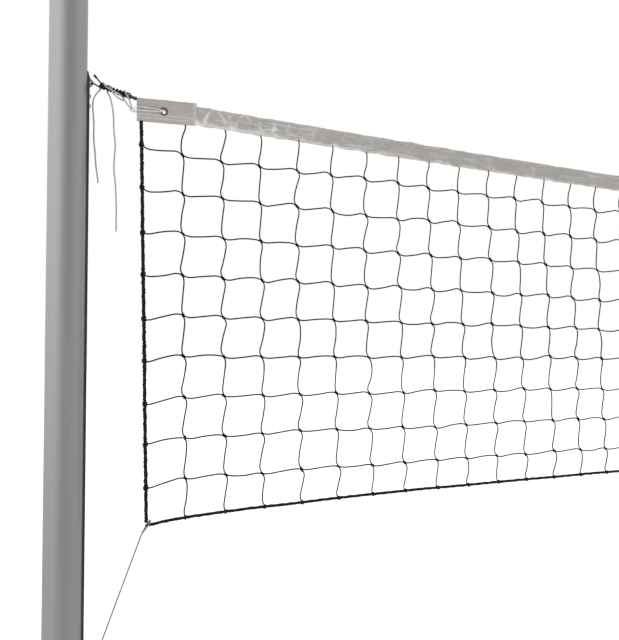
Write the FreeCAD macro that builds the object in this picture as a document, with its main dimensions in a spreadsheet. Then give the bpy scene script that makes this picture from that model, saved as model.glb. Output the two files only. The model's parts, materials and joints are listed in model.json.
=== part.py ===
import FreeCAD, Part
import Sketcher
import math
import os

# A volleyball net on two posts that stand in floor sleeves, in millimetres, +Z up.
# The origin is on the left post's axis at floor level, +X runs along the net to the right post
# and the net hangs in the plane Y = 0. The pieces of one end are drawn in that post's own frame,
# with its axis at the origin and the net towards +X; the right end is the left one turned half way
# round about Z and moved to the right post.

SIZES = (
    # posts: round extrusion with a flat landing and a T-slot facing the net
    ("post_diameter", 89),
    ("post_wall", 3),
    ("post_above", 2550),
    ("post_below", 350),
    ("landing_width", 33),
    ("slot_mouth", 13),
    ("slot_lip", 3.5),
    ("slot_width", 25),
    ("slot_depth", 8),
    ("slot_wall", 3),
    ("mark_height", 4),
    ("mark_depth", 0.8),
    ("plug_radius", 21),
    ("plug_depth", 30),
    ("cap_height", 14),
    ("cap_round", 9),
    ("foot_height", 6),
    # carrier rail that slides along the post
    ("rail_length", 1650),
    ("rail_width", 30),
    ("rail_thickness", 5.5),
    ("rail_gap", 0.3),
    ("rail_rise", 45),
    ("tip_drop", 14),
    ("nut_length", 34),
    ("nut_thickness", 7),
    ("nut_gap", 0.4),
    ("screw_radius", 4),
    ("screw_head_radius", 7.5),
    ("screw_fit", 0.05),
    ("screw_margin", 110),
    ("screw_spacing", 463),
    # clamp knob near the rail's lower end
    ("knob_drop", 1585),
    ("knob_radius", 26),
    ("knob_height", 24),
    ("knob_hub_radius", 11),
    ("knob_hub_height", 5),
    ("knob_gap", 0.4),
    ("stud_radius", 5),
    ("lobe_radius", 9),
    # head tape, end patches and cable
    ("net_height", 2240),
    ("net_gap", 171),
    ("mesh_size", 100),
    ("mesh_columns", 95),
    ("mesh_rows", 10),
    ("cord_diameter", 3),
    ("cord_offset", 1.9),
    ("head_sag", 120),
    ("foot_sag", -40),
    ("tape_width", 46),
    ("tape_thickness", 7),
    ("tape_rise", 2.5),
    ("patch_gap", 160.5),
    ("patch_length", 147),
    ("patch_width", 56),
    ("patch_thickness", 8),
    ("patch_tilt", 1.5),
    ("patch_slack", 2.5),
    ("cable_diameter", 5),
    ("cable_drop", 5.5),
    ("cable_fit", 0.3),
    ("cable_slope", 12.8),
    ("grommet_inset", 64.5),
    ("grommet_drop", 26.5),
    ("grommet_hole", 6),
    ("grommet_radius", 10),
    ("grommet_wall", 1),
    ("grommet_rim", 0.8),
    ("first_row_drop", 22),
    # edge ropes
    ("side_rope_diameter", 8),
    ("bottom_rope_diameter", 7),
    ("side_rope_lean", 20),
    ("rope_gap", 0.5),
    # fittings on the rails
    ("lug_rise", 22),
    ("lug_reach", 10),
    ("lug_base", 28),
    ("lug_nose", 7),
    ("lug_thickness", 5),
    ("lug_hole", 3.2),
    ("peg_drop", 1378),
    ("peg_radius", 3),
    ("peg_length", 18),
    ("peg_head_radius", 6),
    ("peg_head_length", 4),
    ("staple_radius", 4.2),
    ("staple_wire", 1.1),
    ("staple_drop", 10),
    ("staple_spacing", 23),
    # end terminal of the cable and the clamp of the lashing line
    ("terminal_radius", 4.2),
    ("terminal_length", 8),
    ("terminal_reach", 159.4),
    ("eye_radius", 7.5),
    ("eye_hole", 4.2),
    ("eye_thickness", 4),
    ("clamp_length", 16),
    ("clamp_reach", 123),
    ("clamp_width", 7),
    ("line_diameter", 3.6),
    ("line_pitch", 5.4),
    # pulley on the right rail
    ("pulley_reach", 75),
    ("pulley_cable_radius", 21),
    ("pulley_rim", 4),
    ("pulley_gap", 0.3),
    ("pulley_width", 12),
    ("pulley_pin_radius", 5),
    ("running_fit", 0.06),
    ("cheek_gap", 1),
    ("cheek_thickness", 4),
    ("cheek_margin", 14),
    # winch on the right rail
    ("winch_drop", 1150),
    ("drum_core", 15),
    ("drum_flange", 20),
    ("drum_length", 46),
    ("flange_thickness", 3),
    ("winch_gap", 2),
    ("winch_plate", 3.5),
    ("winch_height", 56),
    ("winch_reach", 50),
    ("base_overhang", 12),
    ("shaft_radius", 8),
    ("shaft_stub", 6),
    ("crank_offset", 46),
    ("crank_thickness", 6),
    ("crank_width", 24),
    ("crank_length", 130),
    ("grip_radius", 14),
    ("grip_length", 84),
    ("grip_gap", 1),
    ("grip_pin_radius", 5),
    ("retainer_radius", 8),
    ("retainer_thickness", 4),
    ("knot_radius", 4),
)

# Sizes worked out from the driving ones, as the expressions that the pieces are bound to.
POST_R = "(Sheet.post_diameter / 2)"
BORE_R = "(Sheet.post_diameter / 2 - Sheet.post_wall)"
LANDING = f"sqrt({POST_R} ^ 2 - (Sheet.landing_width / 2) ^ 2)"
CHANNEL = f"({LANDING} - Sheet.slot_lip)"
RAIL_BACK = f"({LANDING} + Sheet.rail_gap)"
RAIL_FACE = f"({RAIL_BACK} + Sheet.rail_thickness)"
RAIL_TOP = "(Sheet.net_height + Sheet.rail_rise)"
RAIL_FOOT = f"({RAIL_TOP} - Sheet.rail_length)"
NET_WIDTH = "(Sheet.mesh_size * Sheet.mesh_columns)"
POST_SPACING = f"({NET_WIDTH} + 2 * Sheet.net_gap)"
MIDDLE = f"({POST_SPACING} / 2)"
TAPE_TOP = "(Sheet.net_height + Sheet.tape_rise)"
TAPE_START = "(Sheet.patch_gap + Sheet.patch_length + Sheet.patch_slack)"
HEAD_RADIUS = f"((({NET_WIDTH} / 2) ^ 2 + Sheet.head_sag ^ 2) / (2 * Sheet.head_sag))"
HEAD_CENTRE = f"({TAPE_TOP} - Sheet.head_sag + {HEAD_RADIUS})"
CABLE_RADIUS = f"({HEAD_RADIUS} + Sheet.cable_drop)"
FIRST_ROW = "(Sheet.net_height - Sheet.first_row_drop)"
LAST_ROW = f"({FIRST_ROW} - Sheet.mesh_size * Sheet.mesh_rows)"
LUG_HEIGHT = "(Sheet.net_height + Sheet.lug_rise)"
PEG_HEIGHT = "(Sheet.net_height - Sheet.peg_drop)"
KNOB_HEIGHT = f"({RAIL_TOP} - Sheet.knob_drop)"
GROMMET_HEIGHT = "(Sheet.net_height - Sheet.grommet_drop)"
GROMMET_REACH = "(Sheet.patch_gap + Sheet.grommet_inset)"
CABLE_R = "(Sheet.cable_diameter / 2)"
PULLEY_CORE = f"(Sheet.pulley_cable_radius - {CABLE_R} - Sheet.pulley_gap)"
PULLEY_RIM = f"({PULLEY_CORE} + Sheet.pulley_rim)"
CABLE_FALL = "(Sheet.pulley_reach - Sheet.pulley_cable_radius)"
WRAP_RADIUS = f"(Sheet.drum_core + {CABLE_R})"
WINCH_REACH = f"({CABLE_FALL} + {WRAP_RADIUS})"
WINCH_HEIGHT = "(Sheet.net_height - Sheet.winch_drop)"
WINCH_HALF = "(Sheet.drum_length / 2 + Sheet.winch_gap)"
GRIP_START = "(Sheet.crank_offset + Sheet.crank_thickness + Sheet.grip_gap)"

# Routes of the free cords, in the frame of the left post, chosen by hand: points where the cord turns.
LASHING_LINE = (
    (52.1, 7.0, 2262.0), (52.1, -4.5, 2261.8), (58.5, -5.5, 2259.4), (67.0, -3.4, 2255.6),
    (77.0, 0.0, 2253.5), (85.0, 2.9, 2254.6), (93.0, 0.0, 2255.6), (101.0, -2.9, 2250.9),
    (109.0, 0.0, 2246.3), (134.0, 0.0, 2240.7), (141.0, 0.0, 2235.9), (147.2, 0.0, 2241.6),
    (142.6, 0.0, 2250.0), (134.0, 0.0, 2246.2), (109.0, 0.0, 2251.9), (101.0, 2.9, 2250.9),
    (93.0, 0.0, 2249.8), (85.0, -2.9, 2255.0), (77.0, 0.0, 2262.6), (70.5, -0.6, 2269.2),
    (64.5, -1.2, 2275.4),
)
TIE_WRAP = (
    (147.0, 0.0, 2209.0), (152.0, -5.6, 2213.6), (161.0, -6.6, 2219.6), (213.0, -6.6, 2215.7),
    (222.4, -6.8, 2215.2), (222.7, 0.0, 2215.1), (222.4, 6.8, 2215.0), (211.0, 6.6, 2214.4),
    (161.0, 6.6, 2213.0), (153.4, 4.2, 2211.6), (153.0, -4.6, 2209.8), (161.0, -6.6, 2208.8),
    (211.0, -6.6, 2211.4), (222.2, -6.8, 2211.8), (222.5, 0.0, 2211.7), (222.2, 6.8, 2211.6),
    (211.0, 6.6, 2210.8), (161.0, 6.6, 2207.6), (152.4, 5.2, 2206.6), (147.0, 1.0, 2207.6),
)
SHORT_TAIL = (
    (145.4, -1.0, 2211.5), (138.5, -5.0, 2217.5), (132.4, -7.6, 2224.8), (125.6, -8.4, 2233.0),
    (118.4, -8.8, 2240.4), (108.0, -9.4, 2245.2), (97.5, -10.6, 2248.6), (88.0, -9.6, 2253.4),
    (82.0, -6.8, 2260.0), (79.2, -0.4, 2267.4), (76.4, 6.0, 2262.6), (74.2, 6.4, 2254.2),
    (73.0, 1.2, 2248.0), (70.0, -5.2, 2243.6), (65.0, -8.8, 2237.6), (59.4, -9.6, 2229.4),
    (55.6, -9.6, 2218.0), (54.9, -9.2, 2203.0), (57.0, -8.6, 2183.0), (58.8, -8.0, 2158.0),
    (57.6, -8.0, 2128.0), (61.8, -8.4, 2097.0), (63.2, -8.6, 2066.0), (67.4, -8.2, 2043.0),
    (69.6, -8.0, 2024.4),
)
LONG_TAIL = (
    (147.8, -1.6, 2212.6), (144.6, -6.4, 2221.0), (139.6, -10.2, 2231.0), (134.4, -10.0, 2241.0),
    (130.6, -6.4, 2250.0), (129.0, 0.0, 2254.0), (128.4, 6.0, 2249.4), (129.6, 7.6, 2241.0),
    (130.4, 6.0, 2233.0), (127.0, 0.6, 2229.6), (119.0, -4.6, 2230.6), (110.0, -6.6, 2235.0),
    (102.8, -7.2, 2242.0), (98.0, -6.8, 2250.0), (94.6, -5.8, 2258.4), (92.6, 0.0, 2262.2),
    (91.0, 6.0, 2257.6), (90.4, 6.6, 2249.0), (90.8, 1.6, 2243.2), (92.4, -5.6, 2238.8),
    (95.6, -9.8, 2229.0), (99.8, -10.4, 2212.0), (103.8, -9.4, 2185.0), (104.0, -8.8, 2152.0),
    (109.0, -8.4, 2121.0), (106.4, -8.2, 2090.0), (105.0, -8.4, 2060.0), (109.4, -8.6, 2028.0),
    (110.8, -8.4, 1996.0), (112.6, -8.2, 1962.0), (111.6, -8.0, 1934.0), (112.6, -8.0, 1912.0),
)
BOTTOM_TIE = (
    (184.6, 1.6, 1199.8), (190.0, 5.4, 1206.8), (195.6, 6.6, 1214.4), (199.8, 5.2, 1221.2),
    (201.2, 0.0, 1224.8), (199.4, -5.4, 1220.8), (195.2, -6.8, 1213.8), (189.6, -5.6, 1206.0),
    (182.6, -1.4, 1197.0), (175.6, 0.0, 1181.0), (62.6, 0.0, 881.0), (57.4, -6.2, 866.6),
    (56.6, -5.2, 856.6), (56.2, 2.0, 854.2), (56.4, 6.8, 860.4), (58.2, 5.6, 869.6), (61.6, 2.0, 879.0),
)
RIGHT_LINE = (
    (145.4, -1.0, 2211.5), (139.6, -4.4, 2222.0), (134.0, -5.8, 2235.0), (131.0, -5.2, 2246.0),
    (131.4, 0.0, 2250.8), (130.6, 5.0, 2246.0), (132.0, 5.2, 2237.0), (137.0, 3.4, 2225.0),
    (144.0, 1.4, 2213.0),
)

# Where the ties are knotted, in the same frame as the routes.
KNOTS = ((146.4, 0.0, 2209.0), (182.6, 0.0, 1197.6), (61.6, 1.4, 878.0))
TIE_DIAMETER = 2.8
CORNER_DIAMETER = 3.2
LINE_FIT = 0.05

doc = FreeCAD.newDocument("volleyball_net")
sheet = doc.addObject("Spreadsheet::Sheet", "Sheet")
for row, (alias, size) in enumerate(SIZES, start=1):
    sheet.set(f"A{row}", alias)
    sheet.set(f"B{row}", str(size))
    sheet.setAlias(f"B{row}", alias)
doc.recompute()
probe = doc.addObject("App::FeaturePython", "Probe")
nodes = {}


def size_of(expression):
    """The number that an expression of the sheet's sizes gives now."""
    return float(probe.evalExpression(str(expression)))


def vector(x, y, z):
    return FreeCAD.Vector(size_of(x), size_of(y), size_of(z))


def bind(obj, **expressions):
    for name, expression in expressions.items():
        obj.setExpression(name, str(expression))


def put(obj, x=0, y=0, z=0):
    """Bind an object's place to three expressions."""
    for axis, expression in zip("xyz", (x, y, z)):
        obj.setExpression(f"Placement.Base.{axis}", str(expression))


TURNS = {
    "X": FreeCAD.Rotation(FreeCAD.Vector(0, 1, 0), 90),
    "Y": FreeCAD.Rotation(FreeCAD.Vector(1, 0, 0), -90),
    "Z": FreeCAD.Rotation(),
}


def box(name, corner, size):
    made = doc.addObject("Part::Box", name)
    bind(made, Length=size[0], Width=size[1], Height=size[2])
    put(made, *corner)
    return made


def cylinder(name, start, radius, length, axis="Z"):
    """A cylinder that starts at a point and runs along +X, +Y or +Z."""
    made = doc.addObject("Part::Cylinder", name)
    bind(made, Radius=radius, Height=length)
    made.Placement.Rotation = TURNS[axis]
    put(made, *start)
    return made


def cone(name, start, radius, end_radius, length, axis="X"):
    made = doc.addObject("Part::Cone", name)
    bind(made, Radius1=radius, Radius2=end_radius, Height=length)
    made.Placement.Rotation = TURNS[axis]
    put(made, *start)
    return made


def fuse(name, *parts):
    made = doc.addObject("Part::MultiFuse", name)
    made.Shapes = list(parts)
    return made


def group(name, *parts):
    made = doc.addObject("Part::Compound", name)
    made.Links = list(parts)
    return made


def cut(name, base, *tools):
    made = doc.addObject("Part::Cut", name)
    made.Base = base
    made.Tool = tools[0] if len(tools) == 1 else group(f"{name}_tools", *tools)
    return made


def arc_bar(name, radius, y, centre, section, half_angle):
    """A round bar bent to an arc in a plane of constant Y, about a centre on the net's middle line."""
    ring = doc.addObject("Part::Circle", f"{name}_section")
    bind(ring, Radius=section)
    ring.Placement.Rotation = TURNS["X"]
    put(ring, MIDDLE, y, f"{centre} - ({radius})")
    bar = doc.addObject("Part::Revolution", name)
    bar.Source = ring
    bar.Axis = FreeCAD.Vector(0, 1, 0)
    bind(bar, Angle=f"2 * ({half_angle})")
    bind(bar, **{"Base.x": MIDDLE, "Base.z": centre})
    bar.Symmetric = True
    bar.Solid = True
    return bar


def body(name):
    return doc.addObject("PartDesign::Body", name)


def sketch(owner, name, role):
    """A sketch on one of its own body's origin planes."""
    made = owner.newObject("Sketcher::SketchObject", name)
    plane = next(item for item in owner.Origin.OriginFeatures if item.Role == role)
    made.AttachmentSupport = (plane, [""])
    made.MapMode = "FlatFace"
    return made


def pin_point(drawn, index, end, x, y):
    """Hold one point of a sketch at two expressions, measured from the sketch's origin."""
    for kind, axis, expression in (("DistanceX", -2, x), ("DistanceY", -1, y)):
        value = size_of(expression)
        if abs(value) < 1e-9:
            drawn.addConstraint(Sketcher.Constraint("PointOnObject", index, end, axis))
        elif value > 0:
            held = drawn.addConstraint(Sketcher.Constraint(kind, -1, 1, index, end, value))
            drawn.setExpression(f"Constraints[{held}]", str(expression))
        else:
            held = drawn.addConstraint(Sketcher.Constraint(kind, index, end, -1, 1, -value))
            drawn.setExpression(f"Constraints[{held}]", f"-({expression})")


def outline(drawn, points):
    """A closed outline of straight sides through points given as pairs of expressions."""
    corners = [vector(x, y, 0) for x, y in points]
    first = drawn.GeometryCount
    count = len(corners)
    for index, corner in enumerate(corners):
        drawn.addGeometry(Part.LineSegment(corner, corners[(index + 1) % count]), False)
    for index in range(count):
        following = first + (index + 1) % count
        drawn.addConstraint(Sketcher.Constraint("Coincident", first + index, 2, following, 1))
    for index, (x, y) in enumerate(points):
        pin_point(drawn, first + index, 1, x, y)


def circle(drawn, x, y, radius):
    index = drawn.addGeometry(Part.Circle(vector(x, y, 0), FreeCAD.Vector(0, 0, 1), size_of(radius)), False)
    pin_point(drawn, index, 3, x, y)
    held = drawn.addConstraint(Sketcher.Constraint("Radius", index, size_of(radius)))
    drawn.setExpression(f"Constraints[{held}]", str(radius))


def pad(owner, drawn, length, symmetric=False):
    made = owner.newObject("PartDesign::Pad", f"{drawn.Name}_pad")
    made.Profile = drawn
    bind(made, Length=length)
    if symmetric:
        made.SideType = "Symmetric"
    return made


def pocket(owner, drawn):
    """Cut a sketch right through the body, on the side that the sketch plane's normal points to."""
    made = owner.newObject("PartDesign::Pocket", f"{drawn.Name}_pocket")
    made.Profile = drawn
    made.Type = "ThroughAll"
    made.Reversed = True
    return made


def turn(owner, drawn, axis="V_Axis", kind="Revolution"):
    made = owner.newObject(f"PartDesign::{kind}", f"{drawn.Name}_turn")
    made.Profile = drawn
    made.ReferenceAxis = (drawn, [axis])
    made.Angle = 360
    return made


def turned(name, points, axis="H_Axis", plane="XZ_Plane"):
    """A piece turned about an axis through its own origin."""
    owner = body(name)
    drawn = sketch(owner, f"{name}_profile", plane)
    outline(drawn, points)
    turn(owner, drawn, axis)
    return owner


def add_node(label, made):
    made.Label = label
    nodes[label] = made
    return made


def seat(label, side, *parts):
    """Name a finished piece and stand it at its own end of the net."""
    made = parts[0] if len(parts) == 1 and parts[0].TypeId != "PartDesign::Body" else group(f"{label}_seat", *parts)
    if made.TypeId not in ("Part::Compound", "Part::Cut", "Part::MultiFuse"):
        made = group(f"{label}_seat", made)
    if side == "right":
        made.Placement = FreeCAD.Placement(vector(POST_SPACING, 0, 0), FreeCAD.Rotation(FreeCAD.Vector(0,
            0, 1), 180))
        put(made, POST_SPACING, 0, 0)
    return add_node(label, made)


# ---------------------------------------------------------------- posts


def make_post(side):
    """Round tube with a flat landing, a T-slot along it and an insertion mark at the floor."""
    post = body(f"{side}_post_body")
    put(post, 0, 0, "-Sheet.post_below")
    round_bar = sketch(post, f"{side}_post_round", "XY_Plane")
    circle(round_bar, 0, 0, POST_R)
    pad(post, round_bar, "Sheet.post_above + Sheet.post_below")
    hollow = sketch(post, f"{side}_post_hollow", "XY_Plane")
    web = f"({CHANNEL} - Sheet.slot_depth - Sheet.slot_wall)"
    circle(hollow, 0, 0, f"min({BORE_R}, {web})")
    pocket(post, hollow)
    for hand, turn_sign in (("front", -1), ("rear", 1)):
        side_room = sketch(post, f"{side}_post_room_{hand}", "XY_Plane")
        inner = f"{turn_sign} * (Sheet.slot_width / 2 + Sheet.slot_wall)"
        reach = f"{turn_sign} * ({BORE_R} * 0.86)"
        outline(side_room, ((f"-{BORE_R} * 0.5", inner), (f"{BORE_R} * 0.5", inner), (f"{BORE_R} * 0.5",
                                                                                      reach),
                            (f"-{BORE_R} * 0.5", reach)))
        pocket(post, side_room)
    back_room = sketch(post, f"{side}_post_room_back", "XY_Plane")
    outline(back_room, ((f"-{BORE_R} * 0.86", f"-{BORE_R} * 0.5"), (0, f"-{BORE_R} * 0.5"), (0,
        f"{BORE_R} * 0.5"),
                        (f"-{BORE_R} * 0.86", f"{BORE_R} * 0.5")))
    pocket(post, back_room)
    landing = sketch(post, f"{side}_post_landing", "XY_Plane")
    outline(landing, ((LANDING, f"-{POST_R}"), (f"{POST_R} + 1", f"-{POST_R}"), (f"{POST_R} + 1", POST_R),
                      (LANDING, POST_R)))
    pocket(post, landing)
    slot = sketch(post, f"{side}_post_slot", "XY_Plane")
    mouth = "Sheet.slot_mouth / 2"
    half = "Sheet.slot_width / 2"
    floor = f"{CHANNEL} - Sheet.slot_depth"
    outline(slot, ((f"{LANDING} + 1", f"-{mouth}"), (f"{LANDING} + 1", mouth), (CHANNEL, mouth), (CHANNEL,
                                                                                                  half),
                   (floor, half), (floor, f"-{half}"), (CHANNEL, f"-{half}"), (CHANNEL, f"-{mouth}")))
    pocket(post, slot)
    mark = sketch(post, f"{side}_post_mark", "XZ_Plane")
    inner = f"{POST_R} - Sheet.mark_depth"
    top = "Sheet.post_below + Sheet.mark_height"
    outline(mark, ((inner, "Sheet.post_below"), (f"{POST_R} + 1", "Sheet.post_below"), (f"{POST_R} + 1", top),
                   (inner, top)))
    turn(post, mark, kind="Groove")
    seat(f"{side}_post", side, post)


def make_post_ends(side):
    """Domed cap on the post's top and a closing plug under its foot."""
    cap = turned(f"{side}_cap_body", ((0, "-Sheet.plug_depth"), ("Sheet.plug_radius", "-Sheet.plug_depth"),
                                      ("Sheet.plug_radius", 0), (POST_R, 0), (POST_R, "Sheet.cap_height"),
                                      (0, "Sheet.cap_height")), "V_Axis")
    doc.recompute()
    top = size_of("Sheet.cap_height")
    blank = cap.Tip
    rim = [f"Edge{i}" for i, edge in enumerate(blank.Shape.Edges, 1) if abs(edge.BoundBox.ZMin - top) < 1e-6]
    dome = cap.newObject("PartDesign::Fillet", f"{side}_cap_dome")
    dome.Base = (blank, rim)
    bind(dome, Radius="Sheet.cap_round")
    put(cap, 0, 0, "Sheet.post_above")
    seat(f"{side}_post_cap", side, cap)
    foot = turned(f"{side}_foot_body", ((0, "-Sheet.foot_height"), (BORE_R, "-Sheet.foot_height"),
                                        (BORE_R, 0),
                                        ("Sheet.plug_radius", 0), ("Sheet.plug_radius", "Sheet.plug_depth"),
                                        (0, "Sheet.plug_depth")), "V_Axis")
    put(foot, 0, 0, "-Sheet.post_below")
    seat(f"{side}_foot_plug", side, foot)


# ---------------------------------------------------------------- carrier rails

SCREWS = 4


def screw_height(index):
    return f"({RAIL_TOP} - Sheet.screw_margin - {index} * Sheet.screw_spacing)"


def make_rail(side):
    """Flat bar with a slanted tip, countersunk for its screws and drilled for the clamp stud."""
    rail = body(f"{side}_rail_body")
    profile = sketch(rail, f"{side}_rail_profile", "XZ_Plane")
    outline(profile, ((RAIL_BACK, RAIL_FOOT), (RAIL_FACE, RAIL_FOOT), (RAIL_FACE,
                                                                       f"{RAIL_TOP} - Sheet.tip_drop"),
                      (f"{RAIL_BACK} + Sheet.rail_thickness * 0.3", RAIL_TOP), (RAIL_BACK, RAIL_TOP)))
    pad(rail, profile, "Sheet.rail_width", symmetric=True)
    holes = sketch(rail, f"{side}_rail_holes", "YZ_Plane")
    for index in range(SCREWS):
        circle(holes, 0, screw_height(index), "Sheet.screw_radius + Sheet.screw_fit")
    circle(holes, 0, KNOB_HEIGHT, "Sheet.stud_radius + Sheet.running_fit")
    pocket(rail, holes)
    sinks = []
    for index in range(SCREWS):
        sinks.append(cone(f"{side}_sink_{index}", (RAIL_BACK, 0, screw_height(index)),
                          "Sheet.screw_radius + Sheet.screw_fit", "Sheet.screw_head_radius + Sheet.screw_fit",
                          "Sheet.rail_thickness"))
    seat(f"{side}_rail", side, cut(f"{side}_rail_cut", rail, *sinks))


def make_rail_nuts(side):
    """T-nuts in the slot, one behind each screw and one behind the clamp stud."""
    nuts = []
    front = f"({CHANNEL} - Sheet.nut_gap)"
    width = "(Sheet.slot_width - 2 * Sheet.nut_gap)"
    for index in range(SCREWS + 1):
        height = KNOB_HEIGHT if index == SCREWS else screw_height(index)
        bore = "Sheet.screw_radius + Sheet.screw_fit"
        if index == SCREWS:
            bore = "Sheet.stud_radius + Sheet.running_fit"
        plate = box(f"{side}_nut_plate_{index}",
                    (f"{front} - Sheet.nut_thickness", f"-{width} / 2", f"{height} - Sheet.nut_length / 2"),
                    ("Sheet.nut_thickness", width, "Sheet.nut_length"))
        hole = cylinder(f"{side}_nut_hole_{index}", (f"{front} - Sheet.nut_thickness - 1", 0, height), bore,
                        "Sheet.nut_thickness + 2", "X")
        nuts.append(cut(f"{side}_nut_{index}", plate, hole))
    seat(f"{side}_rail_nuts", side, *nuts)


def make_rail_screws(side):
    """Countersunk screws, flush with the rail's face."""
    screws = []
    tail = f"({CHANNEL} - Sheet.nut_gap - Sheet.nut_thickness)"
    for index in range(SCREWS):
        shank = cylinder(f"{side}_shank_{index}", (tail, 0, screw_height(index)), "Sheet.screw_radius",
                         f"{RAIL_FACE} - {tail}", "X")
        head = cone(f"{side}_head_{index}", (RAIL_BACK, 0, screw_height(index)), "Sheet.screw_radius",
                    "Sheet.screw_head_radius", "Sheet.rail_thickness")
        socket = cylinder(f"{side}_socket_{index}", (f"{RAIL_FACE} - Sheet.rail_thickness / 2", 0,
                                                     screw_height(index)),
                          "Sheet.screw_radius * 0.6", "Sheet.rail_thickness", "X")
        screws.append(cut(f"{side}_screw_{index}", fuse(f"{side}_screw_blank_{index}", shank, head), socket))
    seat(f"{side}_rail_screws", side, *screws)


LOBES = 6


def make_knob(side):
    """Clamp knob with finger scallops; its stud passes the rail and screws into the last T-nut."""
    base = f"({RAIL_FACE} + Sheet.knob_gap)"
    seat_face = f"({base} + Sheet.knob_hub_height)"
    face = f"({seat_face} + Sheet.knob_height)"
    tail = f"({CHANNEL} - Sheet.nut_gap - Sheet.nut_thickness)"
    knob = turned(f"{side}_knob_blank", ((tail, 0), (face, 0), (face, "Sheet.knob_radius"),
                                         (seat_face, "Sheet.knob_radius"), (seat_face,
                                                                            "Sheet.knob_hub_radius"),
                                         (base, "Sheet.knob_hub_radius"), (base, "Sheet.stud_radius"),
                                         (tail, "Sheet.stud_radius")))
    put(knob, 0, 0, KNOB_HEIGHT)
    scallops = []
    for index in range(LOBES):
        angle = f"{360 * index / LOBES} deg"
        reach = "(Sheet.knob_radius + Sheet.lobe_radius * 0.45)"
        scallops.append(cylinder(f"{side}_scallop_{index}",
                                 (f"{seat_face} - 1", f"{reach} * cos({angle})",
                                  f"{KNOB_HEIGHT} + {reach} * sin({angle})"),
                                 "Sheet.lobe_radius", "Sheet.knob_height + 2", "X"))
    seat(f"{side}_clamp_knob", side, cut(f"{side}_knob_cut", knob, *scallops))


def make_peg(side):
    """Headed peg that the bottom tie is knotted round."""
    head = f"({RAIL_FACE} + Sheet.peg_length)"
    face = f"({head} + Sheet.peg_head_length)"
    peg = turned(f"{side}_peg_body", ((RAIL_FACE, 0), (face, 0), (face, "Sheet.peg_head_radius"),
                                      (head, "Sheet.peg_head_radius"), (head, "Sheet.peg_radius"),
                                      (RAIL_FACE, "Sheet.peg_radius")))
    put(peg, 0, 0, PEG_HEIGHT)
    seat(f"{side}_tie_peg", side, peg)


def make_hook_lug():
    """Drilled lug on the left rail that holds the head cable's lashing line."""
    lug = body("hook_lug_body")
    profile = sketch(lug, "hook_lug_profile", "XZ_Plane")
    nose = f"({RAIL_FACE} + Sheet.lug_reach)"
    outline(profile, ((RAIL_FACE, "-Sheet.lug_base / 2"), (nose, "-Sheet.lug_nose / 2"), (nose,
        "Sheet.lug_nose / 2"),
                      (RAIL_FACE, "Sheet.lug_base / 2")))
    pad(lug, profile, "Sheet.lug_thickness", symmetric=True)
    hole = cylinder("hook_lug_hole", (f"{RAIL_FACE} + Sheet.lug_reach / 2", f"-{POST_R}", LUG_HEIGHT),
                    "Sheet.lug_hole", "Sheet.post_diameter", "Y")
    put(lug, 0, 0, LUG_HEIGHT)
    seat("left_hook_lug", "left", cut("hook_lug_cut", lug, hole))


def make_staples():
    """Two small wire staples on the left rail, for the tails of the ties."""
    staples = []
    for index in range(2):
        wire = doc.addObject("Part::Torus", f"staple_{index}")
        bind(wire, Radius1="Sheet.staple_radius", Radius2="Sheet.staple_wire")
        wire.Angle3 = 180
        wire.Placement.Rotation = FreeCAD.Rotation(FreeCAD.Vector(0, 0, 1), FreeCAD.Vector(1, 0, 0),
                                                   FreeCAD.Vector(0, 1, 0))
        put(wire, RAIL_FACE, 0, f"Sheet.net_height - Sheet.staple_drop - {index} * Sheet.staple_spacing")
        staples.append(wire)
    seat("left_rail_staples", "left", *staples)


# ---------------------------------------------------------------- head tape and netting


TAPE_LENGTHS = 6


def make_tape():
    """Folded head tape, in lengths bent to the sag of the net, with the cable's channel near its top edge."""
    half = "Sheet.tape_thickness / 2"
    far = f"-({HEAD_RADIUS} + Sheet.tape_width)"
    share = f"(2 * asin(({MIDDLE} - {TAPE_START}) / {HEAD_RADIUS}) / {TAPE_LENGTHS})"
    strips = []
    for index in range(TAPE_LENGTHS):
        strip = body(f"head_tape_body_{index}")
        section = sketch(strip, f"head_tape_section_{index}", "YZ_Plane")
        outline(section, ((f"-{half}", far), (half, far), (half, f"-{HEAD_RADIUS}"), (f"-{half}",
                                                                                      f"-{HEAD_RADIUS}")))
        circle(section, 0, f"-{CABLE_RADIUS}", f"{CABLE_R} + Sheet.cable_fit")
        bend = turn(strip, section, "H_Axis")
        bend.Midplane = True
        bind(bend, Angle=share)
        put(strip, MIDDLE, 0, HEAD_CENTRE)
        strip.Placement.Rotation = FreeCAD.Rotation(FreeCAD.Vector(0, 1, 0), 1)
        strip.setExpression("Placement.Rotation.Angle", f"{share} * ({index} - ({TAPE_LENGTHS} - 1) / 2)")
        strips.append(strip)
    add_node("head_tape", group("head_tape_group", *strips))


def cable_point(reach):
    """Height of the head cable's centre line, on its arc, at a distance from the left post."""
    run = size_of(MIDDLE) - reach
    return size_of(HEAD_CENTRE) - math.sqrt(size_of(CABLE_RADIUS) ** 2 - run ** 2)


def cable_tangent():
    """The cable's arc where the tape ends, and its slope there."""
    start = size_of(TAPE_START)
    run = size_of(MIDDLE) - start
    slope = run / math.sqrt(size_of(CABLE_RADIUS) ** 2 - run ** 2)
    return start, cable_point(start), slope


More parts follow.
